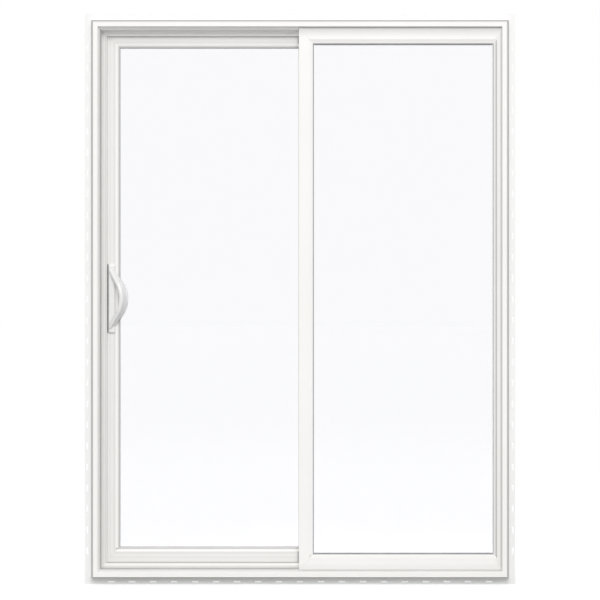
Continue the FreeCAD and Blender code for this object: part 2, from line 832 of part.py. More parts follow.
def make_handle(label, front_sign, depth):
    """A cast pull: a flat backplate and a bow that leans outward and towards the glass.

    The bow's feet are trimmed flush with the backplate's back and outer edge.
    """
    plate = rounded_plate(label + "_backplate", front_sign)
    bow = make_bow(label + "_bow")
    turn = front_sign * size("grip_angle")
    middle = f"{front_sign} * backplate_thickness / 2"
    place(bow, "0", middle, "0", (Vector(0, 0, 1), turn))
    whole = doc.addObject("Part::Fuse", label + "_casting")
    whole.Base = plate
    whole.Tool = bow
    out = "(grip_apex + grip_width)"
    nearest = f"-{out}" if front_sign < 0 else "0"
    room = bound_box(label + "_room", f"backplate_width + {out}", out, "backplate_length",
                     ("-backplate_width / 2", nearest, "-backplate_length / 2"))
    casting = doc.addObject("Part::Common", label)
    casting.Base = whole
    casting.Tool = room
    casting.Label = label
    place(casting, "handle_across", depth, "handle_middle")
    return casting


def make_thumb_turn():
    """The indoor latch lever: a round boss and a tapered thumb piece."""
    body = new_body("thumb_turn")
    boss = new_sketch(body, "thumb_boss", "XZ_Plane")
    centred_circle(boss, "thumb_boss_radius")
    raised = pad(body, boss, "thumb_boss_raised", "thumb_boss_rise")
    raised.Reversed = True
    lever = new_sketch(body, "thumb_lever", "XZ_Plane")
    half = "thumb_turn_width / 2"
    tip = "thumb_turn_tip / 2"
    outline(lever, [
        (f"-{half}", f"-{half}"),
        (half, f"-{half}"),
        (tip, "thumb_turn_length"),
        (f"-{tip}", "thumb_turn_length"),
    ])
    blade = pad(body, lever, "thumb_lever_raised", "thumb_turn_rise")
    blade.Reversed = True
    place(body, "handle_across", "front + sliding_back + backplate_thickness", "handle_middle")


def edge_plate(label, width, length, thickness, slot_width, slot_length, across):
    """A thin metal plate on an upright edge, with a slot for the latch hook."""
    body = new_body(label)
    plate = new_sketch(body, label + "_outline", "YZ_Plane")
    outline(plate, box_corners(f"-{width} / 2", f"{width} / 2", f"-{length} / 2",
                               f"{length} / 2"))
    pad(body, plate, label + "_sheet", thickness)
    slot = new_sketch(body, label + "_slot", "YZ_Plane")
    reach = f"({slot_length} - {slot_width}) / 2"
    stadium(slot, ("0", f"-({reach})"), ("0", reach), f"{slot_width} / 2")
    cut_through(body, slot, label + "_cut")
    place(body, across, "front + track_middle", "handle_middle")


def make_lock():
    edge_plate("latch_faceplate", "faceplate_width", "faceplate_length",
               "faceplate_thickness", "keeper_slot_width", "keeper_slot_length",
               "sliding_left - faceplate_thickness")
    edge_plate("keeper", "keeper_width", "keeper_length", "keeper_thickness",
               "keeper_slot_width", "keeper_slot_length", "-half_width + floor_reach")


def make_stop():
    """A block on the head's running channel that the open panel comes up to."""
    body = new_body("head_stop")
    sketch = new_sketch(body, "head_stop_outline", "XZ_Plane")
    outline(sketch, box_corners("0", "stop_length", "-stop_reach", "-floor_reach"))
    pad(body, sketch, "head_stop_block", "stop_depth", middle=True)
    place(body, "sliding_right + travel + running_gap", "front + track_middle",
          "frame_bottom + door_height")


def make_strips():
    """Pile strips on the rib's indoor side and on the indoor leg."""
    edges = ("-half_width + strip_reach", "half_width - strip_reach",
             "frame_bottom + strip_reach", "frame_bottom + door_height - strip_reach")
    thickness = "running_gap - strip_gap"
    ring("outer_weatherstrip", *edges, "strip_width", "front + rib_back", thickness)
    ring("inner_weatherstrip", *edges, "strip_width",
         f"front + inner_leg_front - ({thickness})", thickness)


def make_panels():
    fixed = ("fixed_left", "fixed_right", "fixed_bottom", "fixed_top")
    make_panel("fixed", *fixed, "fixed_depth", "interlock_width", "fixed_stile_width",
               "fixed_interlock_stile", "fixed_jamb_stile", panel_section("rail_width"))
    make_glazing("fixed", "fixed_left + interlock_width", "fixed_right - fixed_stile_width",
                 "fixed_bottom + rail_width", "fixed_top - rail_width", "fixed_depth")
    sliding = ("sliding_left", "sliding_right", "sliding_bottom", "sliding_top")
    make_panel("sliding", *sliding, "sliding_depth", "lock_stile_width", "interlock_width",
               "lock_stile", "sliding_interlock_stile", grooved_section("rail_width"))
    make_glazing("sliding", "sliding_left + lock_stile_width",
                 "sliding_right - interlock_width", "sliding_bottom + rail_width",
                 "sliding_top - rail_width", "sliding_depth")


def make_hooks():
    low = "frame_bottom + rib_reach"
    high = "frame_bottom + door_height - rib_reach"
    start = "fixed_left + hook_set_in"
    make_hook("fixed_interlock", 1, start, "front + fixed_back",
              f"{low} + hook_end_gap", f"{high} - hook_end_gap")
    make_hook("sliding_interlock", -1, f"{start} + hook_stagger", "front + sliding_depth",
              f"{low} + running_gap", f"{high} - running_gap")


make_frame()
make_fins()
make_covers()
make_panels()
make_hooks()
make_track()
make_roller("left_roller", "sliding_left + carriage_from_edge")
make_roller("right_roller", "sliding_right - carriage_from_edge")
make_handle("outside_handle", -1, "front + sliding_depth")
make_handle("inside_handle", 1, "front + sliding_back")
make_thumb_turn()
make_lock()
make_stop()
make_strips()
doc.recompute()

inner_pieces = []
for item in doc.Objects:
    for name in ("Base", "Tool"):
        used = getattr(item, name, None)
        if item.TypeId in ("Part::Common", "Part::Fuse", "Part::Fillet") and used:
            inner_pieces.append(used.Name)
pieces = []
for item in doc.Objects:
    if "Invalid" in item.State or "Error" in item.State:
        raise RuntimeError(f"{item.Label} is {item.State}")
    if item.TypeId in ("PartDesign::Body", "Part::Common") and item.Name not in inner_pieces:
        pieces.append(item)
for piece in pieces:
    if piece.Shape.isNull() or not piece.Shape.isValid():
        raise RuntimeError(f"{piece.Label} has no valid shape")

os.makedirs("parts", exist_ok=True)
for piece in pieces:
    piece.Shape.exportStep(f"parts/{piece.Label}.step")
print(len(pieces), "pieces")
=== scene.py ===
"""Finishes, small trim and studio for a two-panel sliding patio door.

X runs across the door, Y from outdoors to indoors and Z up, in metres.
"""

import math

import bmesh
import bpy
import numpy as np
from bpy.props import FloatProperty, FloatVectorProperty, PointerProperty
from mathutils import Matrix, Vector


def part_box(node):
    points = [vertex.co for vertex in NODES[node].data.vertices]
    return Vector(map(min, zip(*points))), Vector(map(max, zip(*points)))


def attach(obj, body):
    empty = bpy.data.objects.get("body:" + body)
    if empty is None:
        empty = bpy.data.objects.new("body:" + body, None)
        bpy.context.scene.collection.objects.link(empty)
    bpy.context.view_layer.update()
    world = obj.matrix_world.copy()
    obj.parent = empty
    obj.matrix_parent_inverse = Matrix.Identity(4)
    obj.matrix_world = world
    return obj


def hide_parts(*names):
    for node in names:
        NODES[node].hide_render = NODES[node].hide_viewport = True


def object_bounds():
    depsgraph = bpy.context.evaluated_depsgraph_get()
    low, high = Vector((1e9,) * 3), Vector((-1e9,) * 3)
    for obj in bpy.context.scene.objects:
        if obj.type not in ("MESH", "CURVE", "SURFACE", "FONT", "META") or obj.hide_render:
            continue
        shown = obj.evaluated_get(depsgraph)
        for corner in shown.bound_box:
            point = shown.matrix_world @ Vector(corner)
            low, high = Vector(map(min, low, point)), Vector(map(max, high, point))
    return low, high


bl_info = {
    "name": "Sliding patio door",
    "version": (1, 0, 0),
    "blender": (4, 5, 0),
    "location": "3D View > Sidebar > Door",
    "description": "Dresses the plain solids of a sliding patio door and sets up a studio",
    "category": "Object",
}

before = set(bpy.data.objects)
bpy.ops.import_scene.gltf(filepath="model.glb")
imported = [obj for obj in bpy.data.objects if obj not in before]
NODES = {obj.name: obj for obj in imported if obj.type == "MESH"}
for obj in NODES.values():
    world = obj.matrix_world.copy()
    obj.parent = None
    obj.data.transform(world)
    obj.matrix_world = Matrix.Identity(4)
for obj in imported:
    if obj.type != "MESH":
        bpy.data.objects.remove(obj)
CAD_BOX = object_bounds()
MM = 0.001


def edges(node):
    """Left, right, low, high, front and back of a plain node, in metres."""
    low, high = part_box(node)
    return low.x, high.x, low.z, high.z, low.y, high.y


def colour(name, description, default):
    return FloatVectorProperty(name=name, description=description, default=default,
                               subtype="COLOR", size=3, min=0.0, max=1.0)


def length(name, description, millimetres):
    return FloatProperty(name=name, description=description, default=millimetres * MM,
                         min=0.0, precision=5, subtype="DISTANCE", unit="LENGTH")


class DoorColours(bpy.types.PropertyGroup):
    """Colours of the door's finishes."""

    vinyl: colour("Vinyl", "Frame and panel members", (0.948, 0.938, 0.918))
    vinyl_drift: colour("Vinyl drift", "The tone the vinyl drifts to", (0.918, 0.906, 0.886))
    # Painted shade: the sliding panel's vinyl is darker than the frame's, for the shade it sits in
    # behind the frame's lip
    shaded_panel_vinyl: colour("Shaded panel vinyl", "Sliding panel, behind the frame's lip",
                        (0.858, 0.846, 0.827))
    # Painted shade: the tone of dark lines that stand in for shadow gaps and shade along the
    # vinyl's edges, channels and joints
    painted_shade_tone: colour("Painted shade tone", "Fine lines along the vinyl's edges", (0.228, 0.218, 0.214))
    fin: colour("Fin vinyl", "Nailing fin", (0.9, 0.905, 0.895))
    weld: colour("Weld", "Cleaned weld at the mitres", (0.843, 0.833, 0.814))
    glass: colour("Glass", "Tint of one pane", (0.975, 0.975, 0.985))
    gasket: colour("Gasket", "Gasket at the glass", (0.32, 0.32, 0.33))
    spacer: colour("Spacer", "Bar between the panes", (0.72, 0.73, 0.74))
    interlock: colour("Interlock", "Painted interlock hooks", (0.86, 0.86, 0.85))
    track: colour("Track", "Roller rail", (0.75, 0.76, 0.77))
    steel: colour("Steel", "Keeper, faceplate, carriages and screws", (0.62, 0.62, 0.62))
    wheel: colour("Wheel", "Moulded roller wheels", (0.85, 0.85, 0.82))
    enamel: colour("Enamel", "Cast pulls and thumb turn", (0.85, 0.85, 0.845))
    pile: colour("Pile", "Weatherstrip fibres", (0.60, 0.60, 0.60))
    rubber: colour("Rubber", "Stop in the head", (0.11, 0.11, 0.11))


class DoorSizes(bpy.types.PropertyGroup):
    """Sizes of the small trim."""

    weld_width: length("Weld width", "Width of a mitre weld", 2.2)
    weld_rise: length("Weld rise", "How far a weld stands proud of a panel", 0.2)
    grip_apex: length("Grip apex", "Where the two straight flanks would meet", 77.0)
    grip_half_length: length("Grip half length", "From the grip's middle to a foot", 100.0)
    grip_turn_radius: length("Grip turn radius", "Bend at the grip's middle", 90.0)
    grip_width: length("Grip width", "Across the grip's face", 31.0)
    grip_thickness: length("Grip thickness", "Through the grip", 17.0)
    grip_angle: FloatProperty(name="Grip angle", description="Lean towards the glass",
                              default=math.radians(38.0), subtype="ANGLE", unit="ROTATION")
    plate_width: length("Plate width", "Backplate of a pull", 24.4)
    plate_length: length("Plate length", "Backplate of a pull", 249.0)
    plate_thickness: length("Plate thickness", "Backplate of a pull", 9.0)
    plate_round: length("Plate rounding", "Corners and rim of a backplate", 5.0)
    pile_pitch: length("Pile pitch", "From one tuft of the pile to the next", 8.0)
    pile_ripple: length("Pile ripple", "How much the tufts differ", 0.35)
    screw_radius: length("Screw radius", "Head of a screw", 3.2)
    screw_rise: length("Screw rise", "How far a head stands proud", 1.1)


class DoorStage(bpy.types.PropertyGroup):
    """Studio light and camera."""

    key_power: FloatProperty(name="Key power", description="Large soft lamp above the camera",
                             default=178.0, min=0.0, subtype="POWER", unit="POWER")
    wash: FloatProperty(name="Wash", description="Soft even light from the front",
                        default=0.94, min=0.0)
    surround: FloatProperty(name="Surround", description="Even light from all round",
                            default=0.66, min=0.0)
    distance: length("Distance", "Camera to the frame's outdoor face", 9000.0)
    eye_height: length("Eye height", "Camera above the origin", 1018.7)
    view_width: length("View width", "Width of the picture at the outdoor face", 2170.2)


# Surfaces from arrays


def ring_of_faces(rows, columns):
    """Faces of a tube of points: each cell joins a point to the next round and along."""
    row, column = np.meshgrid(np.arange(rows - 1), np.arange(columns), indexing="ij")
    after = (column + 1) % columns
    here = row * columns
    there = here + columns
    cells = [here + column, here + after, there + after, there + column]
    return np.stack(cells, -1).reshape(-1, 4)


def closed_tubes(name, stacks):
    """A mesh of closed tubes from points[tube, row, column]; both ends get a flat cap.

    Face (r, c) of each tube joins points (r, c), (r, c+1), (r+1, c+1) and (r+1, c),
    with c counted round the tube.
    """
    stacks = np.asarray(stacks, float)
    count, rows, columns, _ = stacks.shape
    start = np.arange(count)[:, None, None] * rows * columns
    sides = (ring_of_faces(rows, columns)[None] + start).reshape(-1, 4)
    rim = np.arange(columns)[None] + start[:, 0]
    caps = rim[:, ::-1].tolist() + (rim + (rows - 1) * columns).tolist()
    mesh = bpy.data.meshes.new(name)
    mesh.from_pydata(stacks.reshape(-1, 3).tolist(), [], sides.tolist() + caps)
    return mesh


def add_piece(name, parts, material, body, replaces=(), crease=35.0):
    """Put closed tubes in the scene as one piece that rides on a body of the door.

    Each part is an array for closed_tubes, and one mesh joins them.
    """
    shell = bmesh.new()
    for part in parts:
        tubes = closed_tubes(name, part)
        shell.from_mesh(tubes)
        bpy.data.meshes.remove(tubes)
    bmesh.ops.recalc_face_normals(shell, faces=shell.faces)
    mesh = bpy.data.meshes.new(name)
    shell.to_mesh(mesh)
    shell.free()
    mesh.shade_smooth()
    mesh.set_sharp_from_angle(angle=math.radians(crease))
    mesh.materials.append(bpy.data.materials[material])
    piece = bpy.data.objects.new(name, mesh)
    bpy.context.scene.collection.objects.link(piece)
    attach(piece, body)
    if replaces:
        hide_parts(*replaces)


def rounded_outline(half_width, half_height, radius, points=8):
    """A rounded rectangle: four quarter circles about centres set in by the radius."""
    turn = np.linspace(0, math.pi / 2, points)
    angle = np.concatenate([turn + quarter * math.pi / 2 for quarter in range(4)])
    side = np.repeat(np.array([[1, 1], [-1, 1], [-1, -1], [1, -1]]), points, axis=0)
    centre = side * np.stack([half_width - radius, half_height - radius], -1)
    return centre + radius * np.stack([np.cos(angle), np.sin(angle)], -1)


def four_sides(left, right, low, high, profile, rows):
    """A rectangular ring as four mitred lengths, each a part for add_piece.

    A profile point is (a, b): a is inward from the ring's outer edge and b is the depth.
    Along a side of length L it lies at a + (L - 2a) t for t from 0 to 1, which mitres
    the corners. rows(L) is how many rows a side has, and profile(side, L, rows) gives
    the points of each row.
    """
    corners = np.array([[left, low], [right, low], [right, high], [left, high]])
    parts = []
    for side in range(4):
        start, end = corners[side], corners[(side + 1) % 4]
        span = np.linalg.norm(end - start)
        run = (end - start) / span
        inward = np.array([-run[1], run[0]])
        shape = profile(side, span, rows(span))
        inset, depth = shape[..., 0], shape[..., 1]
        t = np.linspace(0, 1, shape.shape[0])[:, None]
        along = inset + (span - 2 * inset) * t
        flat = start + run * along[..., None] + inward * inset[..., None]
        parts.append(np.stack([flat[..., 0], depth, flat[..., 1]], -1)[None])
    return parts


# Shader effects that several finishes share

SURFACE = {"Color": "Color", "Roughness": "Float", "Height": "Float"}


def new_group(name, inputs, outputs):
    """An empty shader group: its tree, the sockets it is given and those it makes.

    Inputs are names with their defaults, and outputs are names with their kinds.
    """
    tree = bpy.data.node_groups.new(name, "ShaderNodeTree")
    for label, default in inputs.items():
        kind = {1: "Float", 3: "Vector", 4: "Color"}[np.size(default)]
        socket = tree.interface.new_socket(label, in_out="INPUT", socket_type="NodeSocket" + kind)
        socket.default_value = default
    for label, kind in outputs.items():
        tree.interface.new_socket(label, in_out="OUTPUT", socket_type="NodeSocket" + kind)
    given = tree.nodes.new("NodeGroupInput")
    made = tree.nodes.new("NodeGroupOutput")
    return tree, given.outputs, made.inputs


def feed(tree, value, socket):
    """Link another socket to this one, or give it a plain value."""
    if isinstance(value, bpy.types.NodeSocket):
        tree.links.new(value, socket)
    elif value is not None:
        socket.default_value = value


def math_node(tree, operation, first, second=None, clamp=False):
    """One arithmetic step; an operand is a socket or a number."""
    node = tree.nodes.new("ShaderNodeMath")
    node.operation = operation
    node.use_clamp = clamp
    feed(tree, first, node.inputs[0])
    feed(tree, second, node.inputs[1])
    return node.outputs[0]


def object_place(tree):
    return tree.nodes.new("ShaderNodeTexCoord").outputs["Object"]


def noise_node(tree, place, scale, detail=2.0, roughness=0.5):
    """Noise over a place, most of it between 0.3 and 0.7."""
    node = tree.nodes.new("ShaderNodeTexNoise")
    for name, value in (("Vector", place), ("Scale", scale), ("Detail", detail),
                        ("Roughness", roughness)):
        feed(tree, value, node.inputs[name])
    return node.outputs["Fac"]


def spread(tree, noise, low, high):
    """Stretch noise over the range from low to high."""
    node = tree.nodes.new("ShaderNodeMapRange")
    for name, value in (("Value", noise), ("From Min", 0.3), ("From Max", 0.7),
                        ("To Min", low), ("To Max", high)):
        feed(tree, value, node.inputs[name])
    return node.outputs["Result"]


def mix_colours(tree, factor, first, second):
    """The first colour at a factor of 0, and the second at 1."""
    node = tree.nodes.new("ShaderNodeMix")
    node.data_type = "RGBA"
    colours = [socket for socket in node.inputs if socket.type == "RGBA"]
    factors = [socket for socket in node.inputs if socket.type == "VALUE"]
    for value, socket in ((first, colours[0]), (second, colours[1]), (factor, factors[0])):
        feed(tree, value, socket)
    return [socket for socket in node.outputs if socket.type == "RGBA"][0]


def stretched_place(tree, stretch):
    """Object coordinates, as they are and multiplied by a stretch."""
    place = object_place(tree)
    node = tree.nodes.new("ShaderNodeVectorMath")
    node.operation = "MULTIPLY"
    tree.links.new(place, node.inputs[0])
    tree.links.new(stretch, node.inputs[1])
    return place, node.outputs[0]


def build_extrusion_group():
    """Drawn plastic: long faint die lines, a fine grain and a slow drift of tone."""
    tree, given, made = new_group("Extrusion", {
        "Tone": (0.9, 0.9, 0.9, 1), "Drift Tone": (0.85, 0.85, 0.85, 1),
        "Stretch": (1, 1, 0.02), "Line Scale": 260.0,
        "Roughness Low": 0.32, "Roughness High": 0.46}, SURFACE)
    place, drawn = stretched_place(tree, given["Stretch"])
    lines = noise_node(tree, drawn, given["Line Scale"], 3.0)
    grain = noise_node(tree, place, 2600.0)
    drift = noise_node(tree, place, 2.1)
    tone = mix_colours(tree, spread(tree, drift, 0.0, 1.0), given["Tone"], given["Drift Tone"])
    lined = math_node(tree, "MULTIPLY", spread(tree, lines, 0.0, 1.0), 0.12)
    feed(tree, mix_colours(tree, lined, tone, given["Drift Tone"]), made["Color"])
    feed(tree, spread(tree, lines, given["Roughness Low"], given["Roughness High"]),
         made["Roughness"])
    fine = math_node(tree, "MULTIPLY", grain, 0.35)
    feed(tree, math_node(tree, "ADD", lines, fine), made["Height"])


def build_score_group():
    """A soft painted shade line inside a rectangle, at one distance inward from its edges.

    Strength times 1 - |reach - line| / half width, outdoors of the depth limit, where
    reach is the smallest distance from an edge. Upright is the part that runs along the
    left and right edges, Level the rest; they meet on the mitres, and Round is both.
    """
    tree, given, made = new_group("Painted shade lines", {
        "Left": 0.0, "Right": 1.0, "Low": 0.0, "High": 1.0, "Reach": 0.045,
        "Half Width": 0.0006, "Depth Limit": 10.0, "Strength": 0.5},
        {"Round": "Float", "Upright": "Float", "Level": "Float"})
    axes = tree.nodes.new("ShaderNodeSeparateXYZ")
    tree.links.new(object_place(tree), axes.inputs[0])
    distances = []
    for axis, start, end in (("X", "Left", "Right"), ("Z", "Low", "High")):
        from_start = math_node(tree, "SUBTRACT", axes.outputs[axis], given[start])
        from_end = math_node(tree, "SUBTRACT", given[end], axes.outputs[axis])
        distances.append(math_node(tree, "MINIMUM", from_start, from_end))
    sideways, upward = distances
    reach = math_node(tree, "MINIMUM", sideways, upward)
    outdoors = math_node(tree, "LESS_THAN", axes.outputs["Y"], given["Depth Limit"])
    strong = math_node(tree, "MULTIPLY", given["Strength"], outdoors)
    off = math_node(tree, "ABSOLUTE", math_node(tree, "SUBTRACT", reach, given["Reach"]))
    share = math_node(tree, "DIVIDE", off, given["Half Width"])
    line = math_node(tree, "SUBTRACT", 1.0, share, clamp=True)
    mask = math_node(tree, "MULTIPLY", line, strong)
    feed(tree, mask, made["Round"])
    for name, first, second in (("Upright", sideways, upward), ("Level", upward, sideways)):
        nearer = math_node(tree, "LESS_THAN", first, second)
        feed(tree, math_node(tree, "MULTIPLY", mask, nearer), made[name])


def build_grain_group():
    """A cast or moulded skin: a fine grain and a soft change of tone and gloss."""
    tree, given, made = new_group("Grain", {
        "Tone": (0.8, 0.8, 0.8, 1), "Drift Tone": (0.7, 0.7, 0.7, 1), "Scale": 900.0,
        "Roughness Low": 0.3, "Roughness High": 0.5}, SURFACE)
    place = object_place(tree)
    grain = noise_node(tree, place, given["Scale"], 3.0)
    soft = noise_node(tree, place, 22.0, 3.0)
    feed(tree, mix_colours(tree, spread(tree, soft, 0.0, 1.0), given["Tone"],
                           given["Drift Tone"]), made["Color"])
    feed(tree, spread(tree, soft, given["Roughness Low"], given["Roughness High"]),
         made["Roughness"])
    feed(tree, grain, made["Height"])


def build_brushed_group():
    """Brushed or drawn metal: long scratches that change tone, gloss and height."""
    tree, given, made = new_group("Brushed", {
        "Tone": (0.7, 0.7, 0.7, 1), "Dark Tone": (0.5, 0.5, 0.5, 1),
        "Stretch": (0.03, 1, 1), "Roughness Low": 0.25, "Roughness High": 0.45}, SURFACE)
    place, drawn = stretched_place(tree, given["Stretch"])
    scratches = noise_node(tree, drawn, 1500.0, 4.0, 0.65)
    cloud = noise_node(tree, place, 40.0)
    share = math_node(tree, "MULTIPLY", spread(tree, scratches, 0.0, 1.0),
                      spread(tree, cloud, 0.4, 1.0))
    feed(tree, mix_colours(tree, share, given["Tone"], given["Dark Tone"]), made["Color"])
    feed(tree, spread(tree, scratches, given["Roughness Low"], given["Roughness High"]),
         made["Roughness"])
    feed(tree, scratches, made["Height"])


# Finishes

FINISHES = {
    "frame_vinyl_across": ("head", "sill", "head_cover", "sill_cover"),
    "frame_vinyl_upright": ("lock_jamb", "fixed_jamb", "jamb_cover"),
    "fixed_vinyl_across": ("fixed_bottom_rail", "fixed_top_rail"),
    "fixed_vinyl_upright": ("fixed_interlock_stile", "fixed_jamb_stile"),
    "sliding_vinyl_across": ("sliding_bottom_rail", "sliding_top_rail"),
    "sliding_vinyl_upright": ("lock_stile", "sliding_interlock_stile"),
    "fixed_bead_vinyl": ("fixed_glazing_bead",),
    "sliding_bead_vinyl": ("sliding_glazing_bead",),
    "fin_across": ("nail_fin_head", "nail_fin_sill"),
    "fin_upright": ("nail_fin_left", "nail_fin_right"),
    "clear_glass": ("fixed_outer_pane", "fixed_inner_pane", "sliding_outer_pane",
                    "sliding_inner_pane"),
    "grey_gasket": ("fixed_gasket", "sliding_gasket"),
    "mill_spacer": ("fixed_spacer", "sliding_spacer"),
    "painted_interlock": ("fixed_interlock", "sliding_interlock"),
    "anodised_track": ("roller_rail",),
    "brushed_steel": ("keeper", "latch_faceplate", "left_roller_carriage",
                      "right_roller_carriage"),
    "moulded_wheel": ("left_roller_wheel", "right_roller_wheel"),
    "white_enamel": ("outside_handle", "inside_handle", "thumb_turn"),
    "pile_fibre": ("outer_weatherstrip", "inner_weatherstrip"),
    "moulded_rubber": ("head_stop",),
}

# Die lines that are drawn out along X, along Z or not at all
ACROSS = (0.02, 1.0, 1.0)
UPRIGHT = (1.0, 1.0, 0.02)
EVEN = (1.0, 1.0, 1.0)

# An edge out of reach, for a rectangle that is open on that side
FAR = 9.0

# Depths that the frame's painted shade lines end at: behind its face, its rib and its covers
FACE, RIB, COVER = -0.0285, 0.0165, 0.02


def opaque(rgb, share=1.0):
    """An opaque colour; a share below one darkens it."""
    return (*(part * share for part in rgb), 1.0)


def first_of(nodes, kind):
    return [node for node in nodes if node.type == kind][0]


def set_inputs(node, values):
    """Give a node's inputs plain values; an underscore in a name stands for a space."""
    for name, value in values.items():
        node.inputs[name.replace("_", " ")].default_value = value


def plain_material(name, **values):
    """A material with one Principled shader of these values; its tree and that shader."""
    material = bpy.data.materials.new(name)
    material.use_nodes = True
    tree = material.node_tree
    shader = first_of(tree.nodes, "BSDF_PRINCIPLED")
    set_inputs(shader, values)
    return tree, shader


def use_group(tree, group, **values):
    """Place an effect in a material, with its own values."""
    node = tree.nodes.new("ShaderNodeGroup")
    node.node_tree = bpy.data.node_groups[group]
    set_inputs(node, values)
    return node


def add_relief(tree, shader, height, strength, distance):
    relief = tree.nodes.new("ShaderNodeBump")
    set_inputs(relief, {"Strength": strength, "Distance": distance})
    tree.links.new(height, relief.inputs["Height"])
    tree.links.new(relief.outputs["Normal"], shader.inputs["Normal"])


def dress(tree, shader, effect, bump, distance):
    """Feed an effect's colour, gloss and height to the shader."""
    tree.links.new(effect.outputs["Color"], shader.inputs["Base Color"])
    tree.links.new(effect.outputs["Roughness"], shader.inputs["Roughness"])
    add_relief(tree, shader, effect.outputs["Height"], bump, distance)


def vinyl_material(name, tones, stretch, lines, bump=0.12, line_scale=260.0):
    """Extruded vinyl of a tone, its drift and the tone of its painted shade lines.

    Each painted shade line is a rectangle, its distance inward and its half width in
    millimetres, its strength, the depth that it ends at, and which part of it is drawn.
    """
    tone, drift, shade_line_tone = tones
    tree, shader = plain_material(name, IOR=1.52)
    effect = use_group(tree, "Extrusion", Tone=tone, Drift_Tone=drift, Stretch=stretch,
                       Line_Scale=line_scale)
    dress(tree, shader, effect, bump, 0.2 * MM)
    mask = None
    for (left, right, low, high), reach, half, strength, limit, kind in lines:
        found = use_group(tree, "Painted shade lines", Left=left, Right=right, Low=low, High=high,
                          Reach=reach * MM, Half_Width=half * MM, Strength=strength,
                          Depth_Limit=limit).outputs[kind]
        mask = found if mask is None else math_node(tree, "MAXIMUM", mask, found)
    # Painted shade: the masks darken the vinyl towards the shade line tone
    if mask is not None:
        lined = mix_colours(tree, mask, effect.outputs["Color"], shade_line_tone)
        tree.links.new(lined, shader.inputs["Base Color"])


def moulded_material(name, tone, share, scale, low, high, bump, coat=0.0):
    """A cast, moulded or painted skin; its tone drifts to a share of itself."""
    tree, shader = plain_material(name, Coat_Weight=coat, Coat_Roughness=0.12)
    effect = use_group(tree, "Grain", Tone=opaque(tone), Drift_Tone=opaque(tone, share),
                       Scale=scale, Roughness_Low=low, Roughness_High=high)
    dress(tree, shader, effect, bump, 0.1 * MM)


def metal_material(name, tone, share, stretch, low, high, bump):
    """Brushed or drawn metal; its scratches are a share of its tone."""
    tree, shader = plain_material(name, Metallic=1.0)
    effect = use_group(tree, "Brushed", Tone=opaque(tone), Dark_Tone=opaque(tone, share),
                       Stretch=stretch, Roughness_Low=low, Roughness_High=high)
    dress(tree, shader, effect, bump, 0.05 * MM)


def glass_material(name, tint):
    """Clear float glass with a very slight roller wave, which lets lamps through."""
    tree, shader = plain_material(name, Base_Color=tint, Roughness=0.0, IOR=1.5,
                                  Transmission_Weight=1.0)
    wave = noise_node(tree, object_place(tree), 3.0, 0.0)
    add_relief(tree, shader, wave, 0.02, 1 * MM)
    clear = tree.nodes.new("ShaderNodeBsdfTransparent")
    clear.inputs["Color"].default_value = tint
    path = tree.nodes.new("ShaderNodeLightPath")
    mix = tree.nodes.new("ShaderNodeMixShader")
    tree.links.new(path.outputs["Is Shadow Ray"], mix.inputs[0])
    tree.links.new(shader.outputs[0], mix.inputs[1])
    tree.links.new(clear.outputs[0], mix.inputs[2])
    tree.links.new(mix.outputs[0], first_of(tree.nodes, "OUTPUT_MATERIAL").inputs["Surface"])


def put_on(finish, nodes):
    """Give plain nodes a finish."""
    for name in nodes:
        mesh = NODES[name].data
        if len(mesh.materials) == 0:
            mesh.materials.append(finish)
        for slot in NODES[name].material_slots:
            slot.material = finish


def frame_shade_lines():
    """Painted shade: lines for the shadow gaps along the frame's edges, channels and rib, and the
    shade behind its face.
    """
    left, right, low = edges("sill")[:3]
    high = edges("head")[3]
    outer = (left, right, low, high)
    head, foot = (left, right, -FAR, high), (left, right, low, FAR)
    return ((outer, 3.2, 5.0, 0.98, FACE, "Upright"), (head, 3.0, 4.4, 1.0, FACE, "Level"),
            (foot, 1.8, 3.0, 0.9, FACE, "Level"), (outer, 27.0, 4.5, 0.28, COVER, "Upright"),
            (outer, 32.2, 3.1, 1.0, COVER, "Upright"), (outer, 42.0, 14.0, 0.25, COVER, "Upright"),
            (outer, 49.5, 3.4, 0.5, RIB, "Upright"), (foot, 26.0, 4.0, 0.42, COVER, "Level"),
            (foot, 32.0, 4.2, 1.0, COVER, "Level"), (foot, 37.0, 5.0, 0.3, COVER, "Level"),
            (foot, 52.0, 4.0, 0.85, RIB, "Level"), (head, 49.5, 3.0, 0.2, RIB, "Level"))


def fixed_shade_lines():
    """Painted shade where the fixed panel sits in the frame, and painted shade lines at the joints
    of its bead.
    """
    right, low, high = edges("fixed_jamb_stile")[1:4]
    rim = (-FAR, right, low, high)
    # Painted shadow of the frame's lip over the fixed panel's edges, strongest under the head
    seat_shade = ((rim, 9.0, 6.5, 0.5, FAR, "Round"), (rim, 9.0, 28.0, 0.16, FAR, "Round"),
            ((-FAR, FAR, -FAR, high), 12.0, 30.0, 0.34, FAR, "Level"))
    right, low, high = edges("fixed_glazing_bead")[1:4]
    side = (-FAR, right, low, high)
    # Painted shade lines along the bead's right, top and bottom edges, and broader painted shade
    # along its bottom
    bead_joint_shade = ((side, 3.0, 2.4, 1.0, FAR, "Upright"), (side, 8.0, 4.0, 0.5, FAR, "Upright"),
             (side, 1.0, 3.0, 0.2, FAR, "Level"),
             ((-FAR, FAR, low, FAR), 7.0, 9.0, 0.26, FAR, "Level"))
    return seat_shade, bead_joint_shade


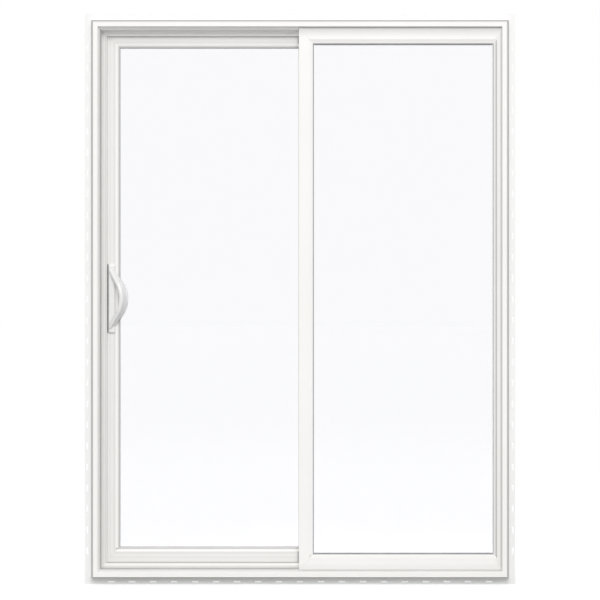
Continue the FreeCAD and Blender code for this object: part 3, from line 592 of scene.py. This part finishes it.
def sliding_shade_lines():
    """Painted shade on the sliding panel's bead, and painted shade lines on its rails and stiles.

    Both have two lines where the profile steps. The rails also have a painted shadow beside
    the fixed panel, and the stiles a faint painted shade line along the edge and the painted
    shadow of the gap beside the pull's plate.
    """
    left, _, low, high = edges("sliding_glazing_bead")[:4]
    # Painted shade on the bead's slope towards the glass
    shade = (((left, FAR, low, high), 11.5, 5.0, 0.55, FAR, "Round"),
             ((-FAR, FAR, low, FAR), 9.5, 4.5, 0.7, FAR, "Level"))
    left, right, low = edges("sliding_bottom_rail")[:3]
    panel = (left, right, low, edges("sliding_top_rail")[3])
    # Two painted shade lines where the profile steps
    step_shade = ((panel, 30.0, 0.9, 0.4, FAR, "Round"), (panel, 45.5, 1.0, 0.5, FAR, "Round"))
    # Painted shadow in the gap beside the fixed panel's interlock stile
    beside = (-FAR, edges("fixed_interlock_stile")[0], -FAR, FAR)
    rails = step_shade + ((beside, 2.0, 3.2, 0.9, FAR, "Upright"),)
    plate_left, _, plate_low, plate_high = edges("outside_handle")[:4]
    # Painted shadow of the gap beside the outdoor pull's plate, on the lock stile
    gap = (plate_left - 6.5 * MM, plate_left + 1 * MM, plate_low, plate_high)
    stiles = step_shade + ((panel, 12.5, 3.5, 0.2, FAR, "Upright"),
                      (gap, 3.75, 7.0, 1.1, 0.026, "Round"))
    return shade, rails, stiles


class DOOR_OT_finishes(bpy.types.Operator):
    """Make the finishes and put them on the door's solids"""

    bl_idname = "patio_door.finishes"
    bl_label = "Finishes"

    def execute(self, context):
        for build in (build_extrusion_group, build_score_group, build_grain_group,
                      build_brushed_group):
            build()
        tones = context.scene.door_colours
        self.vinyls(tones)
        glass_material("clear_glass", opaque(tones.glass))
        moulded_material("cleaned_weld", tones.weld, 0.93, 1800.0, 0.45, 0.6, 0.3)
        moulded_material("grey_gasket", tones.gasket, 0.85, 1500.0, 0.6, 0.8, 0.3)
        moulded_material("painted_interlock", tones.interlock, 0.96, 700.0, 0.35, 0.5, 0.15)
        moulded_material("moulded_wheel", tones.wheel, 0.94, 1200.0, 0.4, 0.55, 0.2)
        moulded_material("white_enamel", tones.enamel, 0.97, 420.0, 0.2, 0.3, 0.06, coat=0.6)
        moulded_material("pile_fibre", tones.pile, 0.7, 2400.0, 0.85, 0.95, 0.9)
        moulded_material("moulded_rubber", tones.rubber, 0.75, 1400.0, 0.6, 0.8, 0.4)
        metal_material("mill_spacer", tones.spacer, 0.85, (1.0, 1.0, 0.05), 0.3, 0.5, 0.2)
        metal_material("anodised_track", tones.track, 0.8, (0.02, 1.0, 1.0), 0.22, 0.4, 0.25)
        metal_material("brushed_steel", tones.steel, 0.7, (1.0, 1.0, 0.03), 0.22, 0.42, 0.3)
        for finish, nodes in FINISHES.items():
            put_on(bpy.data.materials[finish], nodes)
        return {"FINISHED"}

    def vinyls(self, tones):
        # Painted shade: a dark line tone for shadow gaps and channels, and a darker vinyl for the
        # sliding panel in the shade behind the frame's lip
        line = opaque(tones.painted_shade_tone)
        vinyl = (opaque(tones.vinyl), opaque(tones.vinyl_drift), line)
        behind = (opaque(tones.shaded_panel_vinyl), opaque(tones.shaded_panel_vinyl, 0.97), line)
        fin = (opaque(tones.fin), opaque(tones.fin, 0.97), line)
        frame_painted_shade = frame_shade_lines()
        seat_shade, bead_joint_shade = fixed_shade_lines()
        shade, rails, stiles = sliding_shade_lines()
        vinyl_material("frame_vinyl_across", vinyl, ACROSS, frame_painted_shade)
        vinyl_material("frame_vinyl_upright", vinyl, UPRIGHT, frame_painted_shade)
        vinyl_material("fixed_vinyl_across", vinyl, ACROSS, seat_shade)
        vinyl_material("fixed_vinyl_upright", vinyl, UPRIGHT, seat_shade)
        vinyl_material("fixed_bead_vinyl", vinyl, EVEN, bead_joint_shade, bump=0.08)
        vinyl_material("sliding_bead_vinyl", vinyl, EVEN, shade, bump=0.08)
        vinyl_material("sliding_vinyl_across", behind, ACROSS, rails)
        vinyl_material("sliding_vinyl_upright", behind, UPRIGHT, stiles)
        vinyl_material("fin_across", fin, (0.01, 1.0, 1.0), (), 0.5, 620.0)
        vinyl_material("fin_upright", fin, (1.0, 1.0, 0.01), (), 0.5, 620.0)


# Pieces


def weld_ridges(seams, width, rise):
    """Low ridges over mitres, each from an outer to an inner corner on an upright face.

    A seam is (x0, z0, x1, z1, y, facing). Across the seam the ridge is half a flat
    ellipse, s = w/2 cos p and h = rise sin p, closed below the surface.
    """
    sink = 0.3 * MM
    table = np.array(seams, float)
    start, end = table[:, 0:2], table[:, 2:4]
    depth, facing = table[:, 4], table[:, 5]
    run = (end - start) / np.linalg.norm(end - start, axis=1)[:, None]
    side = np.stack([-run[:, 1], run[:, 0]], -1)
    turn = np.linspace(0, math.pi, 7)
    across = np.concatenate([width / 2 * np.cos(turn), [-width / 2, width / 2]])
    out = np.concatenate([rise * np.sin(turn), [-sink, -sink]])
    t = np.linspace(0, 1, 4)
    line = start[:, None] + (end - start)[:, None] * t[:, None]
    flat = line[:, :, None] + side[:, None, None] * across[:, None]
    y = depth[:, None, None] + facing[:, None, None] * out + np.zeros(flat.shape[:3])
    return np.stack([flat[..., 0], y, flat[..., 1]], -1)


def mitre_seams(box, widths, y, facing):
    """The four mitres of a rectangle whose members have these widths: left, right, rail."""
    left, right, low, high = box
    from_left, from_right, rail = widths
    seams = []
    for x, sign, stile in ((left, 1, from_left), (right, -1, from_right)):
        for z, upward in ((low, 1), (high, -1)):
            seams.append((x, z, x + sign * stile, z + upward * rail, y, facing))
    return seams


def corner_fills(box, widths, bead, front, back):
    """Three-sided plugs at a panel's corners, beside the bead, from front to back.

    The mitre runs from the outer to the inner corner of members w and h wide, and both
    members' full depth ends a bead's width b short of that. The plug's corners are
    (w - b, h - b), (w - b, (w - b) h / w) and (w (h - b) / h, h - b), inward from the
    panel's corner.
    """
    left, right, low, high = box
    from_left, from_right, rail = widths
    w = np.array([from_left, from_left, from_right, from_right])[:, None]
    near = np.array([(left, low), (left, high), (right, low), (right, high)])[:, None]
    inward = np.array([(1, 1), (1, -1), (-1, 1), (-1, -1)])[:, None]
    side, top = w - bead, rail - bead + 0 * w
    points = np.concatenate([np.stack([side, top], -1), np.stack([side, side * rail / w], -1),
                             np.stack([w * top / rail, top], -1)], axis=1)
    flat = (near + inward * points)[:, None].repeat(2, axis=1)
    y = np.zeros(flat.shape[:3]) + np.array([front, back])[:, None]
    return np.stack([flat[..., 0], y, flat[..., 1]], -1)


class DOOR_OT_weld_seams(bpy.types.Operator):
    """Lay the welds over the mitres of frame, panels and beads, and plug the panels' pits"""

    bl_idname = "patio_door.weld_seams"
    bl_label = "Weld seams"

    def execute(self, context):
        sizes = context.scene.door_sizes
        left, right, low, _, _, back = edges("sill")
        indoor_face = 50 * MM
        inside = mitre_seams((left, right, low, edges("head")[3]), (indoor_face,) * 3, back, 1)
        welds = weld_ridges(inside, sizes.weld_width, sizes.weld_rise)
        add_piece("frame_indoor_welds", [welds], "cleaned_weld", "frame")
        self.panel_welds(sizes, "fixed", "frame", "fixed_interlock_stile", "fixed_jamb_stile")
        self.panel_welds(sizes, "sliding", "sliding_panel", "lock_stile",
                         "sliding_interlock_stile")
        return {"FINISHED"}

    def panel_welds(self, sizes, panel, body, left_stile, right_stile):
        """Welds indoors over whole mitres, outdoors as far as the bead and on the bead."""
        left, inner_left = edges(left_stile)[:2]
        inner_right, right = edges(right_stile)[:2]
        low, inner_low, front, back = edges(f"{panel}_bottom_rail")[2:]
        high = edges(f"{panel}_top_rail")[3]
        *bead_box, bead_front, bead_back = edges(f"{panel}_glazing_bead")
        bead_low = bead_box[2]
        box = (left, right, low, high)
        widths = (inner_left - left, right - inner_right, inner_low - low)
        shown = tuple(width * (bead_low - low) / widths[2] for width in widths)
        seams = mitre_seams(box, widths, back, 1) + mitre_seams(box, shown, front, -1)
        bead_rim, hairline = 2 * MM, 0.1 * MM
        rim = mitre_seams(bead_box, (bead_rim,) * 3, bead_front, -1)
        pieces = (
            ("panel_welds", weld_ridges(seams, sizes.weld_width, sizes.weld_rise),
             "cleaned_weld"),
            ("corner_fills", corner_fills(box, widths, inner_low - bead_low, front, bead_back),
             f"{panel}_vinyl_upright"),
            ("bead_joints", weld_ridges(rim, sizes.weld_width / 4, hairline), "cleaned_weld"))
        for name, tubes, finish in pieces:
            add_piece(f"{panel}_{name}", [tubes], finish, body)


def bow_surface(sizes, centre, facing):
    """A bow grip as one closed tube.

    The centre line stands u(z) off the plate: a circle of the turn radius about the
    middle, then straight flanks to u = 0 at the half length and a little past it. The
    section, a rounded rectangle, is square to that line and shrinks with the square of
    z towards the feet. The whole leans by the grip angle, and is held inside the
    plate's far edge and back.
    """
    run_on, inside_edge, inside_back = 5 * MM, 1.2 * MM, 0.4 * MM
    half, apex = sizes.grip_half_length, sizes.grip_apex
    radius = sizes.grip_turn_radius
    slope = apex / half
    lean = math.atan(slope)
    middle = apex - radius / math.cos(lean)
    knee = radius * math.sin(lean)
    reach = half + run_on
    z = reach * np.sin(np.linspace(-1, 1, 97) * math.pi / 2)
    inner = np.clip(np.abs(z), 0, knee)
    u = np.where(np.abs(z) < knee, middle + np.sqrt(radius ** 2 - inner ** 2),
                 apex - slope * np.abs(z))
    tangent = np.where(np.abs(z) < knee, np.arcsin(inner / radius), lean) * np.sign(z)
    share = (z / reach) ** 2
    width = sizes.grip_width * (1 - 0.2 * share)
    thick = sizes.grip_thickness * (1 - 0.15 * share)
    unit = rounded_outline(1.0, 0.5, 0.42)
    section_w = unit[None, :, 0] * width[:, None] / 2
    section_t = unit[None, :, 1] * thick[:, None]
    out = u[:, None] + section_t * np.cos(tangent)[:, None]
    up = z[:, None] + section_t * np.sin(tangent)[:, None]
    turn = sizes.grip_angle
    x = out * math.cos(turn) + section_w * math.sin(turn)
    off = out * math.sin(turn) - section_w * math.cos(turn) + sizes.plate_thickness / 2
    x = np.maximum(x, -sizes.plate_width / 2 + inside_edge)
    off = np.maximum(off, inside_back)
    return np.stack([centre.x + x, centre.y + facing * off, centre.z + up], -1)[None]


def plate_surface(sizes, centre, facing):
    """A backplate: its outline rises straight, then a quarter circle rounds its rim."""
    round_by = sizes.plate_round
    turn = np.linspace(0, math.pi / 2, 7)[:-1]
    inset = np.concatenate([[0.0], round_by * (1 - np.cos(turn)), [round_by * 0.97]])
    rise = np.concatenate([[0.0], sizes.plate_thickness - round_by * (1 - np.sin(turn)),
                           [sizes.plate_thickness]])
    flat = np.array([rounded_outline(sizes.plate_width / 2 - step, sizes.plate_length / 2 - step,
                                     round_by - step) for step in inset])
    y = centre.y + facing * rise[:, None] + np.zeros(flat.shape[:2])
    return np.stack([centre.x + flat[..., 0], y, centre.z + flat[..., 1]], -1)[None]


def pull_centre(node, facing):
    """Middle of a pull's backplate, on the face that carries it."""
    left, _, low, high, front, back = edges(node)
    sizes = bpy.context.scene.door_sizes
    return Vector((left + sizes.plate_width / 2, back if facing < 0 else front,
                   (low + high) / 2))


class DOOR_OT_pulls(bpy.types.Operator):
    """Cast the two bow pulls over their plain solids"""

    bl_idname = "patio_door.pulls"
    bl_label = "Pulls"

    def execute(self, context):
        sizes = context.scene.door_sizes
        for node, facing in (("outside_handle", -1), ("inside_handle", 1)):
            centre = pull_centre(node, facing)
            parts = (bow_surface(sizes, centre, facing), plate_surface(sizes, centre, facing))
            add_piece(node + "_cast", parts, "white_enamel", "sliding_panel",
                      (node,), 50.0)
        return {"FINISHED"}


def lever_surfaces(left, right, low, high, front, back):
    """A thumb turn's round boss and its blade, as two closed tubes.

    The boss is circles about the pivot, of shares of half the width, at rises off the
    plate. The blade's rows are rounded rectangles for t from 0 at the foot to 1 at the
    tip, with half width (4.5 - 1.35 t) s mm and half depth D s about its own middle,
    where D is half of d (1 - 0.22 t^3) less a gap, d is the whole depth, and
    s = sqrt(1 - |2t - 1|^7), but at least 0.12, rounds the ends.
    """
    middle = (left + right) / 2
    boss = (right - left) / 2
    pivot = low + boss
    turn = np.linspace(0, 2 * math.pi, 40, endpoint=False)
    radius = boss * np.array([1.0, 1.0, 0.95, 0.84, 0.7])
    rise = np.array([0.0, 1.0, 3.2, 4.7, 5.3]) * MM
    round_boss = np.stack([
        middle + radius[:, None] * np.cos(turn),
        front + rise[:, None] + 0 * turn,
        pivot + radius[:, None] * np.sin(turn)], -1)
    t = np.linspace(0, 1, 25)
    shrink = np.maximum((1 - np.abs(2 * t - 1) ** 7) ** 0.5, 0.12)
    foot = pivot - 4.5 * MM
    z = foot + (high - foot) * t
    half_width = (4.5 - 1.35 * t) * MM * shrink
    gap = 0.5 * MM
    half_depth = ((back - front) * (1.0 - 0.22 * t ** 3) - gap) / 2
    unit = rounded_outline(1.0, 1.0, 0.55, 6)
    x = middle + unit[None, :, 0] * half_width[:, None]
    y = front + gap + half_depth[:, None] * (1 + unit[None, :, 1] * shrink[:, None])
    blade = np.stack([x, y, z[:, None] + 0 * x], -1)
    return round_boss[None], blade[None]


class DOOR_OT_thumb_turn(bpy.types.Operator):
    """Model the indoor latch lever over its plain solid"""

    bl_idname = "patio_door.thumb_turn"
    bl_label = "Thumb turn"

    def execute(self, context):
        add_piece("thumb_turn_lever", lever_surfaces(*edges("thumb_turn")), "white_enamel",
                  "sliding_panel", ("thumb_turn",), 50.0)
        return {"FINISHED"}


class DOOR_OT_gaskets(bpy.types.Operator):
    """Draw the wedge gaskets between beads and glass"""

    bl_idname = "patio_door.gaskets"
    bl_label = "Gaskets"

    def execute(self, context):
        # Inward from the ring's outer edge, and depth from the gasket's back face
        lip = np.array([(0, -0.02), (0, -1.5), (0.5, -1.6), (1.6, -1.55), (2.7, -1.25),
                        (3.5, -0.75), (3.95, -0.25), (3.95, -0.02)]) * MM
        for panel, body, shares in (("fixed", "frame", (1.5, 0.5, 1.5, 0.85)),
                                    ("sliding", "sliding_panel", (0.5, 0.2, 0.5, 0.5))):
            node = f"{panel}_gasket"
            left, right, low, high, _, back = edges(node)

            def wedge(side, span, rows, shares=shares, back=back):
                """The lip's points, their way inward times the side's share."""
                profile = lip * np.array([shares[side], 1.0]) + np.array([0, back])
                return np.repeat(profile[None], rows, axis=0)

            ring = four_sides(left, right, low, high, wedge, lambda span: 2)
            add_piece(f"{panel}_wedge_gasket", ring, "grey_gasket", body, (node,), 40.0)
        return {"FINISHED"}


class DOOR_OT_pile_strips(bpy.types.Operator):
    """Weave the tufted pile strips of the frame"""

    bl_idname = "patio_door.pile_strips"
    bl_label = "Pile strips"

    def execute(self, context):
        sizes = context.scene.door_sizes
        pitch, ripple = sizes.pile_pitch, sizes.pile_ripple
        # Inward from the ring's outer edge, and height over the face that carries the pile
        section = np.array([(0, 0), (0, 1.0), (1.0, 1.1), (1.2, 3.5), (2.2, 4.3), (3.5, 4.45),
                            (4.8, 4.3), (5.8, 3.5), (6.0, 1.1), (7.0, 1.0), (7.0, 0)]) * MM
        # How much each of those points follows the tufts
        tufted = np.array([0, 0, 0, 0.6, 1, 1, 1, 0.6, 0, 0, 0])
        chance = np.random.default_rng(7)
        for node, facing in (("outer_weatherstrip", 1), ("inner_weatherstrip", -1)):
            left, right, low, high, front, back = edges(node)
            carried = front if facing > 0 else back

            def tufts(side, span, rows, facing=facing, carried=carried):
                """Pile height h(s) = h0 - r (1 - cos 2 pi s/p)/2 - r n, with n random."""
                along = np.linspace(0, span, rows)
                wave = (1 - np.cos(2 * math.pi * along / pitch)) / 2
                drop = ripple * (wave + 0.6 * chance.random(rows))
                lean = ripple * 0.6 * np.sin(2 * math.pi * along / (2.3 * pitch))
                inset = section[None, :, 0] + lean[:, None] * tufted
                height = section[None, :, 1] - drop[:, None] * tufted
                return np.stack([inset, carried + facing * height], -1)

            ring = four_sides(left, right, low, high, tufts,
                              lambda span: int(span / (pitch / 4)) + 1)
            add_piece(node + "_pile", ring, "pile_fibre", "frame", (node,), 40.0)
        return {"FINISHED"}


def screw_surface(centre, out, radius, rise):
    """A pan head with a cross recess, as rings about its axis.

    Height h(r) = rise sqrt(1 - 0.8 (r/R)^2) less a recess where a point lies near
    either arm of the cross; the last rings close it below the surface.
    """
    share = np.concatenate([np.linspace(0.04, 1.0, 15), [1.0]])
    turn = np.linspace(0, 2 * math.pi, 48, endpoint=False)
    a = radius * share[:, None] * np.cos(turn)
    b = radius * share[:, None] * np.sin(turn)
    height = rise * np.sqrt(1 - 0.8 * share[:, None] ** 2) + 0 * turn
    half_arm, arm_reach, recess = 0.16 * radius, 0.62, 0.7 * rise
    off_arm = np.minimum(np.abs(a), np.abs(b))
    near = np.clip((half_arm - off_arm) / (0.06 * radius), 0, 1)
    within = np.clip((arm_reach - share[:, None]) / 0.08, 0, 1)
    height = height - recess * near * within
    height[-1] = -0.4 * MM
    axis = Vector(out)
    first = Vector((0, 0, 1))
    second = axis.cross(first)
    return (np.array(centre) + a[..., None] * np.array(first) + b[..., None] * np.array(second)
            + height[..., None] * np.array(axis))


def downward_screw(centre, radius, rise):
    """The same head, facing down: its rings are turned from the X axis to the Z axis."""
    head = screw_surface((0, 0, 0), (1, 0, 0), radius, rise)
    return np.array(centre) + np.stack([head[..., 2], head[..., 1], -head[..., 0]], -1)


class DOOR_OT_screws(bpy.types.Operator):
    """Set the screws of the keeper, faceplate, stop and indoor pull"""

    bl_idname = "patio_door.screws"
    bl_label = "Screws"

    def execute(self, context):
        sizes = context.scene.door_sizes
        radius, rise = sizes.screw_radius, sizes.screw_rise
        keeper_inset, plate_inset, pull_half_pitch = 14 * MM, 16 * MM, 116.5 * MM
        keeper = edges("keeper")
        plate = edges("latch_faceplate")
        stop = edges("head_stop")
        pull = pull_centre("inside_handle", 1)
        depth = (keeper[4] + keeper[5]) / 2
        still = [screw_surface((keeper[1], depth, z), (1, 0, 0), radius, rise)
                 for z in (keeper[2] + keeper_inset, keeper[3] - keeper_inset)]
        under_stop = ((stop[0] + stop[1]) / 2, (stop[4] + stop[5]) / 2, stop[2])
        still.append(downward_screw(under_stop, radius, rise))
        moving = [screw_surface((plate[0], depth, z), (-1, 0, 0), radius, rise)
                  for z in (plate[2] + plate_inset, plate[3] - plate_inset)]
        face = pull.y + sizes.plate_thickness
        moving += [screw_surface((pull.x, face, z), (0, 1, 0), radius * 0.8, rise)
                   for z in (pull.z - pull_half_pitch, pull.z + pull_half_pitch)]
        add_piece("frame_screws", [still], "brushed_steel", "frame", crease=40.0)
        add_piece("panel_screws", [moving], "brushed_steel", "sliding_panel",
                  crease=40.0)
        return {"FINISHED"}


class DOOR_OT_stage(bpy.types.Operator):
    """Set up the floor, the light and the camera"""

    bl_idname = "patio_door.stage"
    bl_label = "Stage"

    def execute(self, context):
        scene = context.scene
        stage = scene.door_stage
        self.floor(scene)
        self.surround(scene, stage.surround)
        self.lamps(scene, stage)
        self.camera(scene, stage)
        scene.view_settings.view_transform = "Standard"
        return {"FINISHED"}

    def floor(self, scene):
        ground, half = CAD_BOX[0].z, 90.0
        mesh = bpy.data.meshes.new("studio_floor")
        mesh.from_pydata([(-half, -half, ground), (half, -half, ground), (half, half, ground),
                          (-half, half, ground)], [], [(0, 1, 2, 3)])
        floor = bpy.data.objects.new("studio_floor", mesh)
        scene.collection.objects.link(floor)
        self.floor_material()
        mesh.materials.append(bpy.data.materials["studio_white"])

    def seen_share(self, tree):
        """One for camera, glossy and transmission rays, and nought for all others."""
        path = tree.nodes.new("ShaderNodeLightPath")
        seen = math_node(tree, "MAXIMUM", path.outputs["Is Camera Ray"],
                         path.outputs["Is Glossy Ray"])
        return math_node(tree, "MAXIMUM", seen, path.outputs["Is Transmission Ray"])

    def floor_material(self):
        """A pale floor that reads as white where it is lit and keeps its shadows."""
        tree, shader = plain_material("studio_white", Roughness=0.9, Specular_IOR_Level=0.1,
                                      Emission_Color=(1, 1, 1, 1))
        speckle = noise_node(tree, object_place(tree), 6.0)
        feed(tree, mix_colours(tree, speckle, (0.48, 0.48, 0.48, 1), (0.52, 0.52, 0.52, 1)),
             shader.inputs["Base Color"])
        feed(tree, math_node(tree, "MULTIPLY", self.seen_share(tree), 0.56),
             shader.inputs["Emission Strength"])

    def surround(self, scene, level):
        """White to the eye and in reflections; an even grey light for all else."""
        world = bpy.data.worlds.new("studio_surround")
        world.use_nodes = True
        scene.world = world
        tree = world.node_tree
        background = first_of(tree.nodes, "BACKGROUND")
        background.inputs["Color"].default_value = (1, 1, 1, 1)
        rest = math_node(tree, "MULTIPLY", self.seen_share(tree), 1.0 - level)
        feed(tree, math_node(tree, "ADD", rest, level), background.inputs["Strength"])

    def lamps(self, scene, stage):
        """A large lamp above the camera, and an even wash along the same way."""
        lamp = bpy.data.lights.new("studio_key", "AREA")
        lamp.shape = "RECTANGLE"
        lamp.size, lamp.size_y = 6.0, 3.5
        lamp.energy = stage.key_power
        wash = bpy.data.lights.new("studio_wash", "SUN")
        wash.energy = stage.wash
        wash.angle = math.radians(30.0)
        place = Vector((0.0, -7.5, 6.0))
        aim = Vector((0.0, 0.0, 1.1)) - place
        for light in (lamp, wash):
            key = bpy.data.objects.new(light.name, light)
            key.location = place
            key.rotation_euler = aim.to_track_quat("-Z", "Y").to_euler()
            scene.collection.objects.link(key)

    def camera(self, scene, stage):
        data = bpy.data.cameras.new("studio_camera")
        data.sensor_width = 36.0
        data.lens = 36.0 * stage.distance / stage.view_width
        data.clip_end = 200.0
        camera = bpy.data.objects.new("studio_camera", data)
        camera.location = (0.0, edges("sill")[4] - stage.distance, stage.eye_height)
        camera.rotation_euler = (math.pi / 2, 0.0, 0.0)
        scene.collection.objects.link(camera)
        scene.camera = camera


OPERATORS = (DOOR_OT_finishes, DOOR_OT_weld_seams, DOOR_OT_pulls, DOOR_OT_thumb_turn,
             DOOR_OT_gaskets, DOOR_OT_pile_strips, DOOR_OT_screws, DOOR_OT_stage)


class DOOR_PT_panel(bpy.types.Panel):
    """Sidebar panel with the door's pieces"""

    bl_idname = "DOOR_PT_panel"
    bl_label = "Sliding patio door"
    bl_space_type = "VIEW_3D"
    bl_region_type = "UI"
    bl_category = "Door"

    def draw(self, context):
        column = self.layout.column()
        for operator in OPERATORS:
            column.operator(operator.bl_idname)
        for group in (context.scene.door_colours, context.scene.door_sizes,
                      context.scene.door_stage):
            for name in group.bl_rna.properties.keys():
                if name not in ("rna_type", "name"):
                    column.prop(group, name)


CLASSES = (DoorColours, DoorSizes, DoorStage, *OPERATORS, DOOR_PT_panel)


def register():
    for item in CLASSES:
        bpy.utils.register_class(item)
    bpy.types.Scene.door_colours = PointerProperty(type=DoorColours)
    bpy.types.Scene.door_sizes = PointerProperty(type=DoorSizes)
    bpy.types.Scene.door_stage = PointerProperty(type=DoorStage)


def unregister():
    del bpy.types.Scene.door_colours
    del bpy.types.Scene.door_sizes
    del bpy.types.Scene.door_stage
    for item in reversed(CLASSES):
        bpy.utils.unregister_class(item)


def main():
    register()
    bpy.ops.patio_door.finishes()
    bpy.ops.patio_door.weld_seams()
    bpy.ops.patio_door.pulls()
    bpy.ops.patio_door.thumb_turn()
    bpy.ops.patio_door.gaskets()
    bpy.ops.patio_door.pile_strips()
    bpy.ops.patio_door.screws()
    bpy.ops.patio_door.stage()


if __name__ == "__main__":
    main()
